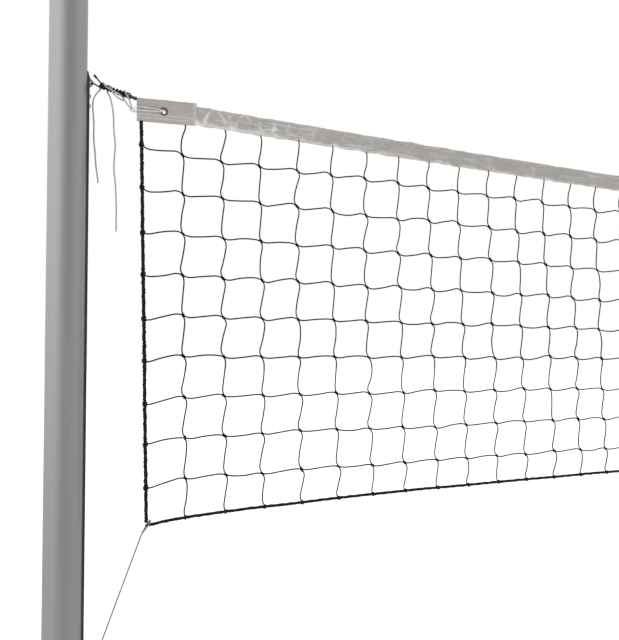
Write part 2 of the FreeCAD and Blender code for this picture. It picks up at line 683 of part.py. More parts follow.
def make_patch(side):
    """Stiffened end patch of the tape, tilted a little, with the cable's channel and the grommet's hole."""
    plate = box(f"{side}_patch_plate", (0, "-Sheet.patch_thickness / 2", "-Sheet.patch_width"),
                ("Sheet.patch_length", "Sheet.patch_thickness", "Sheet.patch_width"))
    tilted = group(f"{side}_patch_tilted", plate)
    tilted.Placement.Rotation = FreeCAD.Rotation(FreeCAD.Vector(0, 1, 0), -size_of("Sheet.patch_tilt"))
    bind(tilted, **{"Placement.Rotation.Angle": "Sheet.patch_tilt"})
    put(tilted, "Sheet.patch_gap", 0, "Sheet.net_height")
    start, height, slope = cable_tangent()
    channel = doc.addObject("Part::Feature", f"{side}_patch_channel")
    away = FreeCAD.Vector(-1, 0, slope).normalize()
    overrun = 20
    foot = FreeCAD.Vector(start, 0, height) - away * overrun
    bore = size_of(f"{CABLE_R} + Sheet.cable_fit")
    channel.Shape = Part.makeCylinder(bore, size_of("Sheet.patch_length") + 2 * overrun, foot, away)
    hole = cylinder(f"{side}_patch_hole", (GROMMET_REACH, "-Sheet.patch_thickness", GROMMET_HEIGHT),
                    "Sheet.grommet_hole + Sheet.grommet_wall", "2 * Sheet.patch_thickness", "Y")
    seat(f"{side}_end_patch", side, cut(f"{side}_patch_cut", tilted, channel, hole))


def make_grommet(side):
    """Rolled metal eyelet through the end patch."""
    half = "(Sheet.patch_thickness / 2)"
    rim = f"({half} + Sheet.grommet_rim)"
    barrel = "(Sheet.grommet_hole + Sheet.grommet_wall)"
    ring = turned(f"{side}_grommet_body", (
        ("Sheet.grommet_hole", f"-{rim}"), ("Sheet.grommet_radius", f"-{rim}"), ("Sheet.grommet_radius",
                                                                                 f"-{half}"),
        (barrel, f"-{half}"), (barrel, half), ("Sheet.grommet_radius", half), ("Sheet.grommet_radius", rim),
        ("Sheet.grommet_hole", rim)), "V_Axis", "XY_Plane")
    put(ring, GROMMET_REACH, 0, GROMMET_HEIGHT)
    seat(f"{side}_grommet", side, ring)


def row_sag(row):
    return f"(Sheet.head_sag + (Sheet.foot_sag - Sheet.head_sag) * {row} / Sheet.mesh_rows)"


def row_arc(row):
    """Radius and centre of a row's arc; a negative radius bends upwards in the middle."""
    sag = row_sag(row)
    radius = f"((({NET_WIDTH} / 2) ^ 2 + {sag} ^ 2) / (2 * {sag}))"
    centre = f"({FIRST_ROW} - {row} * Sheet.mesh_size - {sag} + {radius})"
    return radius, centre


def side_rope_reach(row):
    return f"(Sheet.net_gap + Sheet.side_rope_lean * {row} / Sheet.mesh_rows)"


def arc_height(radius, centre, reach):
    """Height of an arc's centre line at a distance from the left post, as an expression."""
    run = f"({MIDDLE} - {reach})"
    return f"({centre} - {radius} / abs({radius}) * sqrt({radius} ^ 2 - {run} ^ 2))"


def make_netting():
    """Row cords and column cords of the mesh, in two planes so that they cross side by side."""
    rows = []
    row_count = int(size_of("Sheet.mesh_rows"))
    for row in range(1, row_count):
        radius, centre = row_arc(row)
        reach = f"({side_rope_reach(row)} + Sheet.side_rope_diameter / 2 + Sheet.rope_gap)"
        rows.append(arc_bar(f"row_{row}", radius, "-Sheet.cord_offset", centre, "Sheet.cord_diameter / 2",
                            f"asin(({MIDDLE} - {reach}) / abs({radius}))"))
    add_node("netting_rows", group("netting_rows_group", *rows))
    columns = []
    foot_radius, foot_centre = row_arc(row_count)
    tape_arc = f"({HEAD_RADIUS} + Sheet.tape_width + Sheet.rope_gap)"
    for column in range(1, int(size_of("Sheet.mesh_columns"))):
        reach = f"(Sheet.net_gap + {column} * Sheet.mesh_size)"
        rope_top = "(Sheet.bottom_rope_diameter / 2 + Sheet.rope_gap)"
        low = f"({arc_height(foot_radius, foot_centre, reach)} + {rope_top})"
        high = arc_height(tape_arc, HEAD_CENTRE, reach)
        distance = min(column, int(size_of("Sheet.mesh_columns")) - column) * size_of("Sheet.mesh_size")
        if size_of("Sheet.net_gap") + distance < size_of(TAPE_START):
            high = f"({high} - Sheet.patch_width + Sheet.tape_width)"
        columns.append(cylinder(f"column_{column}", (reach, "Sheet.cord_offset", low),
                                "Sheet.cord_diameter / 2",
                                f"{high} - {low}"))
    add_node("netting_columns", group("netting_columns_group", *columns))


def make_bottom_rope():
    radius, centre = row_arc(int(size_of("Sheet.mesh_rows")))
    reach = f"({side_rope_reach('Sheet.mesh_rows')} - Sheet.side_rope_diameter / 2)"
    rope = arc_bar("bottom_rope_bar", radius, 0, centre, "Sheet.bottom_rope_diameter / 2",
                   f"asin(({MIDDLE} - {reach}) / abs({radius}))")
    add_node("bottom_rope", group("bottom_rope_group", rope))


def make_side_rope(side):
    """Edge rope from the end patch down to the bottom rope, leaning away from the post."""
    rope = doc.addObject("Part::Feature", f"{side}_side_rope_bar")
    top = vector("Sheet.net_gap", 0, "Sheet.net_height - Sheet.patch_width - Sheet.rope_gap - 1")
    foot = vector("Sheet.net_gap + Sheet.side_rope_lean", 0,
                  f"{LAST_ROW} + Sheet.bottom_rope_diameter / 2 + Sheet.rope_gap + 0.2")
    rope.Shape = Part.makeCylinder(size_of("Sheet.side_rope_diameter / 2"), (foot - top).Length, top,
                                   foot - top)
    seat(f"{side}_side_rope", side, rope)


# ---------------------------------------------------------------- cords and cable


def tube(name, points, diameter):
    """A round cord along straight runs joined by arcs, each arc as large as its two runs allow."""
    corners = [FreeCAD.Vector(*point) for point in points]
    edges = []
    radii = []
    last = corners[0]
    for before, corner, after in zip(corners, corners[1:], corners[2:]):
        back = before - corner
        ahead = after - corner
        half_turn = (math.pi - back.getAngle(ahead)) / 2
        trim = 0.45 * min(back.Length, ahead.Length)
        radii.append(trim / math.tan(half_turn))
        back.normalize()
        ahead.normalize()
        start = corner + back * trim
        end = corner + ahead * trim
        inward = (back + ahead).normalize()
        gap = radii[-1] * (1 / math.cos(half_turn) - 1)
        edges.append(Part.LineSegment(last, start).toShape())
        edges.append(Part.Arc(start, corner + inward * gap, end).toShape())
        last = end
    edges.append(Part.LineSegment(last, corners[-1]).toShape())
    return sweep(name, Part.Wire(edges), diameter, radii)


def sweep(name, path, diameter, radii):
    start = path.OrderedVertexes[0].Point
    heading = path.OrderedEdges[0].tangentAt(path.OrderedEdges[0].FirstParameter)
    section = Part.Wire(Part.makeCircle(diameter / 2, start, heading))
    solid = path.makePipe(Part.Face(section))
    ideal = math.pi * diameter ** 2 / 4 * path.Length
    print(f"{name}: length {path.Length:.0f}, volume ratio {solid.Volume / ideal:.4f}, "
          f"radii {' '.join(f'{radius:.1f}' for radius in radii)}")
    made = doc.addObject("Part::Feature", name)
    made.Shape = solid
    return made


ROUTES_NET_HEIGHT = 2240


def rise_with_net(points):
    """The routes are written for one net height and move with the net."""
    lift = size_of("Sheet.net_height") - ROUTES_NET_HEIGHT
    return [(x, y, z + lift) for x, y, z in points]


def make_cords():
    line = size_of("Sheet.line_diameter")
    seat("lashing_line", "left", tube("lashing_line_tube", rise_with_net(LASHING_LINE), line))
    seat("left_short_tail", "left", tube("short_tail_tube", rise_with_net(SHORT_TAIL), TIE_DIAMETER))
    seat("left_long_tail", "left", tube("long_tail_tube", rise_with_net(LONG_TAIL), TIE_DIAMETER))
    seat("right_top_tie", "right", tube("right_line_tube", rise_with_net(RIGHT_LINE), TIE_DIAMETER))
    for side in ("left", "right"):
        seat(f"{side}_grommet_tie", side, tube(f"{side}_wrap_tube", rise_with_net(TIE_WRAP), TIE_DIAMETER))
        bottom = tube(f"{side}_bottom_tube", rise_with_net(BOTTOM_TIE), CORNER_DIAMETER)
        seat(f"{side}_bottom_tie", side, bottom)


def make_knots(side):
    """The knots of one end: at the grommet tie, at the net's bottom corner and at the peg."""
    knots = []
    for index, (reach, out, height) in enumerate(rise_with_net(KNOTS)):
        ball = doc.addObject("Part::Sphere", f"{side}_knot_{index}")
        bind(ball, Radius="Sheet.knot_radius")
        put(ball, reach, out, height)
        knots.append(ball)
    seat(f"{side}_tie_knots", side, *knots)


def sloped(name, shape, reach, height):
    """A piece on the sloping end of the head cable, from its shape along +X about the origin."""
    made = doc.addObject("Part::Feature", name)
    made.Shape = shape
    turn_down = FreeCAD.Rotation(FreeCAD.Vector(0, 1, 0), size_of("Sheet.cable_slope"))
    made.Placement = FreeCAD.Placement(FreeCAD.Vector(reach, 0, height), turn_down)
    return made


def end_height(reach):
    """Height of the cable's sloping end at a distance from the post."""
    bend = size_of("Sheet.patch_gap")
    start, height, slope = cable_tangent()
    at_bend = height + (start - bend) * slope
    return at_bend + (bend - reach) * math.tan(math.radians(size_of("Sheet.cable_slope")))


def make_terminal():
    """Swaged end terminal of the cable: a sleeve and a flat eye that the lashing line passes through."""
    reach = size_of("Sheet.terminal_reach - Sheet.terminal_length / 2")
    length = size_of("Sheet.terminal_length")
    eye_radius = size_of("Sheet.eye_radius")
    thick = size_of("Sheet.eye_thickness")
    along = FreeCAD.Vector(1, 0, 0)
    down = FreeCAD.Vector(0, 0, 1)
    sleeve = Part.makeCylinder(size_of("Sheet.terminal_radius"), length, FreeCAD.Vector(-length / 2, 0,
                                                                                        0), along)
    bore = Part.makeCylinder(size_of(f"{CABLE_R} + Sheet.screw_fit"), length, FreeCAD.Vector(0, 0, 0), along)
    middle = -length / 2 - eye_radius + 1
    disc = Part.makeCylinder(eye_radius, thick, FreeCAD.Vector(middle, 0, -thick / 2), down)
    hole = Part.makeCylinder(size_of("Sheet.eye_hole"), 2 * thick, FreeCAD.Vector(middle, 0, -thick), down)
    shape = sleeve.fuse(disc).cut(bore).cut(hole)
    seat("cable_terminal", "left", sloped("cable_terminal_body", shape, reach, end_height(reach)))


def make_cable():
    """Head cable: through both patches and the tape, over the right pulley and down to the winch."""
    start, height, slope = cable_tangent()
    spacing = size_of(POST_SPACING)
    bend = size_of("Sheet.patch_gap")
    at_bend = height + (start - bend) * slope
    cable_r = size_of(CABLE_R)
    first = size_of("Sheet.terminal_reach - Sheet.terminal_length / 2") + 0.2
    angle = math.radians(size_of("Sheet.cable_slope"))
    wheel_r = size_of("Sheet.pulley_cable_radius")
    reach = size_of("Sheet.pulley_reach")
    wheel_height = pulley_height()

    def right(x, z):
        return FreeCAD.Vector(spacing - x, 0, z)

    low = FreeCAD.Vector(size_of(MIDDLE), 0, size_of(f"{HEAD_CENTRE} - {CABLE_RADIUS}"))
    top = right(reach + wheel_r * math.sin(angle), wheel_height + wheel_r * math.cos(angle))
    side_angle = (math.pi + math.pi / 2 - angle) / 2
    crown = right(reach + wheel_r * math.cos(side_angle), wheel_height + wheel_r * math.sin(side_angle))
    fall = right(reach - wheel_r, wheel_height)
    end = right(reach - wheel_r, size_of(WINCH_HEIGHT) + 3 * cable_r + 8)
    kink = 6

    def knee(x, sign):
        """A small arc where the cable turns from the patch to its sloping end."""
        before = FreeCAD.Vector(x + sign * kink, 0, at_bend - kink * slope)
        rise = at_bend + kink * math.tan(angle)
        after = FreeCAD.Vector(x - sign * kink, 0, rise)
        centre_drop = (before.z + after.z) / 2 - (at_bend + (before.z + after.z) / 2) / 2
        return before, FreeCAD.Vector(x, 0, at_bend + centre_drop), after

    left_in, left_mid, left_out = knee(bend, 1)
    right_in, right_mid, right_out = knee(spacing - bend, -1)
    arc_start = FreeCAD.Vector(start, 0, height)
    arc_end = FreeCAD.Vector(spacing - start, 0, height)
    edges = [
        Part.LineSegment(FreeCAD.Vector(first, 0, end_height(first)), left_out).toShape(),
        Part.Arc(left_out, left_mid, left_in).toShape(),
        Part.LineSegment(left_in, arc_start).toShape(),
        Part.Arc(arc_start, low, arc_end).toShape(),
        Part.LineSegment(arc_end, right_in).toShape(),
        Part.Arc(right_in, right_mid, right_out).toShape(),
        Part.LineSegment(right_out, top).toShape(),
        Part.Arc(top, crown, fall).toShape(),
        Part.LineSegment(fall, end).toShape(),
    ]
    cable = sweep("head_cable_tube", Part.Wire(edges), size_of("Sheet.cable_diameter"), [wheel_r])
    add_node("head_cable", cable)


def make_line_clamp():
    """Oval sleeve that holds the lashing line to itself, and the cap on the line's free end."""
    reach = size_of("Sheet.clamp_reach")
    length = size_of("Sheet.clamp_length")
    width = size_of("Sheet.clamp_width")
    bore = size_of("Sheet.line_diameter / 2") + LINE_FIT
    pitch = size_of("Sheet.line_pitch")
    tall = pitch + width
    block = Part.makeBox(length, width, tall, FreeCAD.Vector(-length / 2, -width / 2, -tall / 2))
    rounded = block.makeFillet(width * 0.4,
                               [edge for edge in block.Edges if abs(edge.Length - length) < 1e-6])
    for offset in (-pitch / 2, pitch / 2):
        start = FreeCAD.Vector(-length, 0, offset)
        rounded = rounded.cut(Part.makeCylinder(bore, 2 * length, start, FreeCAD.Vector(1, 0, 0)))
    sleeve = doc.addObject("Part::Feature", "line_clamp_block")
    sleeve.Shape = rounded
    turn_down = FreeCAD.Rotation(FreeCAD.Vector(0, 1, 0), size_of("Sheet.cable_slope"))
    middle = end_height(reach)
    sleeve.Placement = FreeCAD.Placement(FreeCAD.Vector(reach, 0, middle), turn_down)
    add_node("line_clamp", group("line_clamp_group", sleeve))
    tip = rise_with_net(LASHING_LINE[-2:])
    before = FreeCAD.Vector(*tip[0])
    last = FreeCAD.Vector(*tip[1])
    heading = (last - before).normalize()
    cap_length = 9
    cap = doc.addObject("Part::Feature", "line_cap_body")
    sleeve_shape = Part.makeCylinder(size_of("Sheet.line_diameter / 2") + 1, cap_length, last, heading)
    cap.Shape = sleeve_shape
    add_node("line_end_cap", group("line_cap_group", cap))


# ---------------------------------------------------------------- pulley and winch at the right end


def pulley_height():
    """Height of the pulley that the sloping cable runs onto."""
    start, height, slope = cable_tangent()
    bend = size_of("Sheet.patch_gap")
    at_bend = height + (start - bend) * slope
    angle = math.radians(size_of("Sheet.cable_slope"))
    reach = size_of("Sheet.pulley_reach")
    return at_bend + (bend - reach) * math.tan(angle) - size_of("Sheet.pulley_cable_radius") / math.cos(angle)


def make_pulley():
    core = PULLEY_CORE
    half = "(Sheet.pulley_width / 2)"
    bore = "(Sheet.pulley_pin_radius + Sheet.running_fit)"
    floor = "(Sheet.cable_diameter / 2)"
    wheel = turned("pulley_body", ((bore, f"-{half}"), (PULLEY_RIM, f"-{half}"), (PULLEY_RIM,
                                                                                  f"-{half} + 1.5"),
                                   (core, f"-{floor} + 0.6"), (core, f"{floor} - 0.6"), (PULLEY_RIM,
                                                                                         f"{half} - 1.5"),
                                   (PULLEY_RIM, half), (bore, half)), "V_Axis", "XY_Plane")
    put(wheel, "Sheet.pulley_reach", 0, pulley_height())
    seat("head_pulley", "right", wheel)


def make_pulley_bracket():
    """Two cheeks welded to the rail, with the pulley's pin between them."""
    height = pulley_height()
    inner = "(Sheet.pulley_width / 2 + Sheet.cheek_gap)"
    margin = "Sheet.cheek_margin"
    cheeks = []
    for hand in (-1, 1):
        cheek = body(f"cheek_body_{hand + 1}")
        profile = sketch(cheek, f"cheek_profile_{hand + 1}", "XZ_Plane")
        nose = f"(Sheet.pulley_reach + {margin})"
        outline(profile, ((RAIL_FACE, f"-{PULLEY_RIM}"), ("Sheet.pulley_reach", f"-{margin}"), (nose,
            f"-{margin} / 2"),
                          (nose, f"{margin} / 2"), ("Sheet.pulley_reach", margin), (RAIL_FACE, PULLEY_RIM)))
        pad(cheek, profile, "Sheet.cheek_thickness", symmetric=True)
        put(cheek, 0, f"{hand} * ({inner} + Sheet.cheek_thickness / 2)", height)
        hole = cylinder(f"cheek_hole_{hand + 1}", ("Sheet.pulley_reach", f"-{POST_R}", height),
                        "Sheet.pulley_pin_radius + Sheet.screw_fit", "Sheet.post_diameter", "Y")
        cheeks.append(cut(f"cheek_{hand + 1}", cheek, hole))
    seat("pulley_bracket", "right", *cheeks)
    outer = f"({inner} + Sheet.cheek_thickness)"
    shank = cylinder("pulley_pin_shank", ("Sheet.pulley_reach", f"-{outer} - 2", height),
                     "Sheet.pulley_pin_radius",
                     f"2 * {outer} + 2", "Y")
    head = cylinder("pulley_pin_head", ("Sheet.pulley_reach", outer, height),
                    "Sheet.pulley_pin_radius + 3", 3, "Y")
    seat("pulley_pin", "right", fuse("pulley_pin_fuse", shank, head))


def make_winch_frame():
    """Base plate on the rail with two side plates that carry the drum's shaft."""
    width = f"(2 * ({WINCH_HALF} + Sheet.winch_plate))"
    base = box("winch_base", (RAIL_FACE, f"-{width} / 2 - Sheet.base_overhang",
                              f"{WINCH_HEIGHT} - Sheet.winch_height / 2"),
               ("Sheet.winch_plate", f"{width} + 2 * Sheet.base_overhang", "Sheet.winch_height"))
    plates = [base]
    for index, start in enumerate((f"-{WINCH_HALF} - Sheet.winch_plate", WINCH_HALF)):
        plates.append(box(f"winch_side_{index}", (RAIL_FACE, start,
                                                  f"{WINCH_HEIGHT} - Sheet.winch_height / 2"),
                          ("Sheet.winch_reach", "Sheet.winch_plate", "Sheet.winch_height")))
    hole = cylinder("winch_shaft_hole", (WINCH_REACH, f"-{width}", WINCH_HEIGHT),
                    "Sheet.shaft_radius + Sheet.running_fit", f"2 * {width}", "Y")
    seat("winch_frame", "right", cut("winch_frame_cut", fuse("winch_frame_fuse", *plates), hole))


def make_winch_drum():
    """Spool and shaft in one turned piece; the shaft's long end carries the crank."""
    half = "(Sheet.drum_length / 2)"
    inner = f"({half} - Sheet.flange_thickness)"
    stub = f"({WINCH_HALF} + Sheet.winch_plate + Sheet.shaft_stub)"
    tail = "(Sheet.crank_offset + Sheet.crank_thickness)"
    drum = turned("winch_drum_body", (
        (0, f"-{tail}"), ("Sheet.shaft_radius", f"-{tail}"), ("Sheet.shaft_radius", f"-{half}"),
        ("Sheet.drum_flange", f"-{half}"), ("Sheet.drum_flange", f"-{inner}"), ("Sheet.drum_core",
                                                                                f"-{inner}"),
        ("Sheet.drum_core", inner), ("Sheet.drum_flange", inner), ("Sheet.drum_flange", half),
        ("Sheet.shaft_radius", half), ("Sheet.shaft_radius", stub), (0, stub)), "V_Axis", "XY_Plane")
    put(drum, WINCH_REACH, 0, WINCH_HEIGHT)
    seat("winch_drum", "right", drum)
    turns = []
    for index in range(3):
        ring = doc.addObject("Part::Torus", f"cable_turn_{index}")
        bind(ring, Radius1=f"{WRAP_RADIUS} + Sheet.screw_fit", Radius2=CABLE_R)
        ring.Placement.Rotation = TURNS["Y"]
        put(ring, WINCH_REACH, f"{index - 1} * (Sheet.cable_diameter + 0.2)", WINCH_HEIGHT)
        turns.append(ring)
    seat("cable_turns", "right", *turns)


def make_crank():
    """Crank arm on the shaft's end, hanging down, with the pin and retainer of its grip."""
    start = "-(Sheet.crank_offset + Sheet.crank_thickness)"
    half = "(Sheet.crank_width / 2)"
    bar = box("crank_bar", (f"{WINCH_REACH} - {half}", start, f"{WINCH_HEIGHT} - Sheet.crank_length"),
              ("Sheet.crank_width", "Sheet.crank_thickness", "Sheet.crank_length"))
    boss = cylinder("crank_boss", (WINCH_REACH, start, WINCH_HEIGHT), half, "Sheet.crank_thickness", "Y")
    end = cylinder("crank_end", (WINCH_REACH, start, f"{WINCH_HEIGHT} - Sheet.crank_length"), half,
                   "Sheet.crank_thickness", "Y")
    hole = cylinder("crank_hole", (WINCH_REACH, f"{start} - 1", WINCH_HEIGHT),
                    "Sheet.shaft_radius + Sheet.screw_fit",
                    "Sheet.crank_thickness + 2", "Y")
    pin_hole = cylinder("crank_pin_hole", (WINCH_REACH, f"{start} - 1",
                                           f"{WINCH_HEIGHT} - Sheet.crank_length"),
                        "Sheet.grip_pin_radius + Sheet.screw_fit", "Sheet.crank_thickness + 2", "Y")
    seat("winch_crank", "right", cut("crank_cut", fuse("crank_fuse", bar, boss, end), hole, pin_hole))
    pin_end = f"-({GRIP_START} + Sheet.grip_length + 2 * Sheet.grip_gap)"
    shank = cylinder("grip_pin_shank", (WINCH_REACH, pin_end, f"{WINCH_HEIGHT} - Sheet.crank_length"),
                     "Sheet.grip_pin_radius", f"-({pin_end}) - Sheet.crank_offset", "Y")
    washer = cylinder("grip_pin_washer", (WINCH_REACH, f"{pin_end} - Sheet.retainer_thickness",
                                          f"{WINCH_HEIGHT} - Sheet.crank_length"),
                      "Sheet.retainer_radius", "Sheet.retainer_thickness", "Y")
    seat("grip_pin", "right", fuse("grip_pin_fuse", shank, washer))


def make_grip():
    near = f"-{GRIP_START}"
    far = f"-({GRIP_START} + Sheet.grip_length)"
    bore = "(Sheet.grip_pin_radius + Sheet.running_fit)"
    grip = turned("crank_grip_body", (
        (bore, far), ("Sheet.grip_radius * 0.8", far), ("Sheet.grip_radius",
                                                        f"{far} + Sheet.grip_length * 0.15"),
        ("Sheet.grip_radius", f"{near} - Sheet.grip_length * 0.3"), ("Sheet.grip_radius * 0.7", near),
                                      (bore, near)),
        "V_Axis", "XY_Plane")
    put(grip, WINCH_REACH, 0, f"{WINCH_HEIGHT} - Sheet.crank_length")
    seat("crank_grip", "right", grip)


# ---------------------------------------------------------------- build, check and write


def build():
    for side in ("left", "right"):
        make_post(side)
        make_post_ends(side)
        make_rail(side)
        make_rail_nuts(side)
        make_rail_screws(side)
        make_knob(side)
        make_peg(side)
        make_patch(side)
        make_grommet(side)
        make_side_rope(side)
        make_knots(side)
    make_hook_lug()
    make_staples()
    make_tape()
    make_netting()
    make_bottom_rope()
    make_terminal()
    make_cable()
    make_line_clamp()
    make_cords()
    make_pulley()
    make_pulley_bracket()
    make_winch_frame()
    make_winch_drum()
    make_crank()
    make_grip()
    doc.recompute()


def check():
    for item in doc.Objects:
        if "Invalid" in item.State or "Error" in item.State:
            raise RuntimeError(f"{item.Name} did not compute: {item.State}")
    for label, made in nodes.items():
        if made.Shape.isNull() or not made.Shape.isValid():
            raise RuntimeError(f"{label} has no valid shape")


def write():
    os.makedirs("parts", exist_ok=True)
    for label, made in nodes.items():
        made.Shape.exportStep(os.path.join("parts", f"{label}.step"))
    print(f"{len(nodes)} nodes written")


build()
check()
write()
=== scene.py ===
"""Looks of the volleyball net on poles: netting, ropes, tape, ties, materials and studio round the frame."""

import json
import math

import bpy
import numpy as np
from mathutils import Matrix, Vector, noise


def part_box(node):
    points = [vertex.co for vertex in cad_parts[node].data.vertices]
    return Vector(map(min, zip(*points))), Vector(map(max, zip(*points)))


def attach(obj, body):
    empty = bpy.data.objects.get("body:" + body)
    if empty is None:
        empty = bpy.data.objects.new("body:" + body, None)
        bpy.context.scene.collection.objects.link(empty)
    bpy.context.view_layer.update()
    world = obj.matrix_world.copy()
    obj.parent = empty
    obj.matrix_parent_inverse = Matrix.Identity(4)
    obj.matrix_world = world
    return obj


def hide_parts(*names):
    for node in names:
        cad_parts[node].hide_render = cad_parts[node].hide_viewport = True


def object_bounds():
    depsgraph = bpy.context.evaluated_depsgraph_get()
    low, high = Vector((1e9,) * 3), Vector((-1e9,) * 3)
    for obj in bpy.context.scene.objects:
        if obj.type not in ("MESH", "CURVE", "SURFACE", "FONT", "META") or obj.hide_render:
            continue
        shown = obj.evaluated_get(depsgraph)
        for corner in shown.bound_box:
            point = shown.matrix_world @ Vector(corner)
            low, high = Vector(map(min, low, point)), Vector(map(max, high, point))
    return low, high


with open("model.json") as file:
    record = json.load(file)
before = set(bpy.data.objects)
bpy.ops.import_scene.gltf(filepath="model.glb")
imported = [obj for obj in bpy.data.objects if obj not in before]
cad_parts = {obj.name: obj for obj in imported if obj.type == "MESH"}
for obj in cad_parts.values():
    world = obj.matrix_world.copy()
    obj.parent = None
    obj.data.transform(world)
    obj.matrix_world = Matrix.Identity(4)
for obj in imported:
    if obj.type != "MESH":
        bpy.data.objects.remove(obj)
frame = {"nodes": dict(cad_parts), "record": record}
cad_low, cad_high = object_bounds()
nodes = frame["nodes"]
scene = bpy.context.scene
scene.view_settings.view_transform = "Standard"
scene.view_settings.look = "None"
random_source = np.random.default_rng(7)
# Vector noise takes its seed from the clock unless one is set, and the netting and ropes have to repeat.
NOISE_SEED = 1795063900
noise.seed_set(NOISE_SEED)

# Sizes in metres, the same as the frame's.
SPACING = 9.842
HALF_SPAN = 4.75
MESH = 0.1
COLUMNS = 95
ROWS = 10
ROPE_X = 0.171
ROW_ZERO = 2.218
TAPE_TOP = 2.2425
HEAD_SAG = 0.12
FOOT_RISE = 0.04
CARRIAGE = "net_carriage"
SIDES = ("left", "right")


# ---------------------------------------------------------------- materials

def add_node(tree, kind, **inputs):
    """A new node, with its named sockets set, or linked where the value is another node's output."""
    made = tree.nodes.new("ShaderNode" + kind)
    for name, value in inputs.items():
        socket = made.inputs[name.replace("_", " ")]
        if hasattr(value, "is_output"):
            tree.links.new(value, socket)
        else:
            socket.default_value = value
    return made


class Shader:
    """A material under construction: adds nodes, links them and sets the shader's own sockets."""

    def __init__(self, name, **values):
        self.material = bpy.data.materials.new(name)
        self.material.use_nodes = True
        self.tree = self.material.node_tree
        self.surface = self.tree.nodes["Principled BSDF"]
        for socket, value in values.items():
            label = socket.replace("_", " ").title().replace("Ior", "IOR")
            self.surface.inputs[label].default_value = value
        self.coordinates = self.tree.nodes.new("ShaderNodeTexCoord")

    def node(self, kind, **inputs):
        return add_node(self.tree, kind, **inputs)

    def place(self, scale, source="Object"):
        """Object or UV coordinates, scaled."""
        made = self.tree.nodes.new("ShaderNodeMapping")
        made.inputs["Scale"].default_value = scale
        self.tree.links.new(self.coordinates.outputs[source], made.inputs["Vector"])
        return made.outputs["Vector"]

    def noise(self, place, scale, detail, roughness=0.5):
        made = self.node("TexNoise", Vector=place, Scale=scale, Detail=detail, Roughness=roughness)
        return made.outputs["Fac"]

    def wave(self, place, scale, distortion, direction):
        made = self.node("TexWave", Vector=place, Scale=scale, Distortion=distortion)
        made.bands_direction = direction
        return made.outputs["Fac"]

    def ramp(self, factor, low, high, start=0.3, end=0.7):
        """Two colours, blended between two levels of a factor."""
        made = self.node("ValToRGB", Fac=factor)
        made.color_ramp.elements[0].position = start
        made.color_ramp.elements[0].color = (*low, 1)
        made.color_ramp.elements[1].position = end
        made.color_ramp.elements[1].color = (*high, 1)
        return made.outputs["Color"]

    def span(self, factor, low, high):
        """A factor from 0 to 1, stretched to a range."""
        made = self.node("MapRange", Value=factor)
        made.inputs["To Min"].default_value = low
        made.inputs["To Max"].default_value = high
        return made.outputs["Result"]

    def math(self, operation, first, second):
        made = self.tree.nodes.new("ShaderNodeMath")
        made.operation = operation
        for index, value in enumerate((first, second)):
            if hasattr(value, "is_output"):
                self.tree.links.new(value, made.inputs[index])
            else:
                made.inputs[index].default_value = value
        return made.outputs["Value"]

    def colour(self, output):
        self.tree.links.new(output, self.surface.inputs["Base Color"])

    def roughness(self, output):
        self.tree.links.new(output, self.surface.inputs["Roughness"])

    def bump(self, height, strength, distance):
        made = self.node("Bump", Height=height, Strength=strength, Distance=distance)
        self.tree.links.new(made.outputs["Normal"], self.surface.inputs["Normal"])


# Threads of the canvas, as the texture counts them, and the colours and grain that several materials share.
WEAVE = 620.0
BLACK = (0.004, 0.004, 0.0045)
SOFT_BLACK = (0.02, 0.02, 0.022)
EVEN_GRAIN = (300, 300, 300)


def brushed_metal(name, low, high, rough, streak=(260, 260, 3), grain=0.25):
    """Metal with fine drawn streaks, small dull patches and a little grain."""
    made = Shader(name, metallic=1.0, roughness=rough)
    streaks = made.noise(made.place(streak), 1.0, 4.0, 0.6)
    patches = made.noise(made.place((3, 3, 1.2)), 1.0, 3.0)
    made.colour(made.ramp(made.math("ADD", made.math("MULTIPLY", streaks, 0.45),
                                    made.math("MULTIPLY", patches, 0.55)), low, high))
    dull = made.math("ADD", streaks, made.math("MULTIPLY", patches, 0.6))
    made.roughness(made.span(dull, rough - 0.09, rough + 0.1))
    made.bump(streaks, grain, 0.0002)
    return made.material


def moulded(name, low, high, rough, scale=900, strength=0.2):
    """Plastic or paint: an even fine grain and areas of slight wear."""
    made = Shader(name, roughness=rough)
    grain = made.noise(made.place((1, 1, 1)), scale, 2.0)
    tone_mask = made.noise(made.place((1, 1, 1)), 24, 4.0)
    made.colour(made.ramp(tone_mask, low, high, 0.35, 0.75))
    made.roughness(made.span(tone_mask, rough - 0.08, rough + 0.12))
    made.bump(grain, strength, 0.0002)
    return made.material


def thread(name, low, high, twist, sheen=0.12, gloss=0.5):
    """Cord with a fine braid, from the length and turn of its own tube."""
    made = Shader(name, roughness=0.85, sheen_weight=sheen, sheen_roughness=0.6, specular_ior_level=gloss)
    braid = made.wave(made.place(twist, "UV"), 1.0, 0.4, "DIAGONAL")
    fuzz = made.noise(made.place((1, 1, 1)), 1500, 3.0)
    shade = made.noise(made.place((1, 1, 1)), 60, 3.0)
    tint = made.math("ADD", made.math("MULTIPLY", shade, 0.6), made.math("MULTIPLY", braid, 0.4))
    made.colour(made.ramp(tint, low, high))
    made.bump(made.math("ADD", braid, made.math("MULTIPLY", fuzz, 0.5)), 0.6, 0.0004)
    return made.material


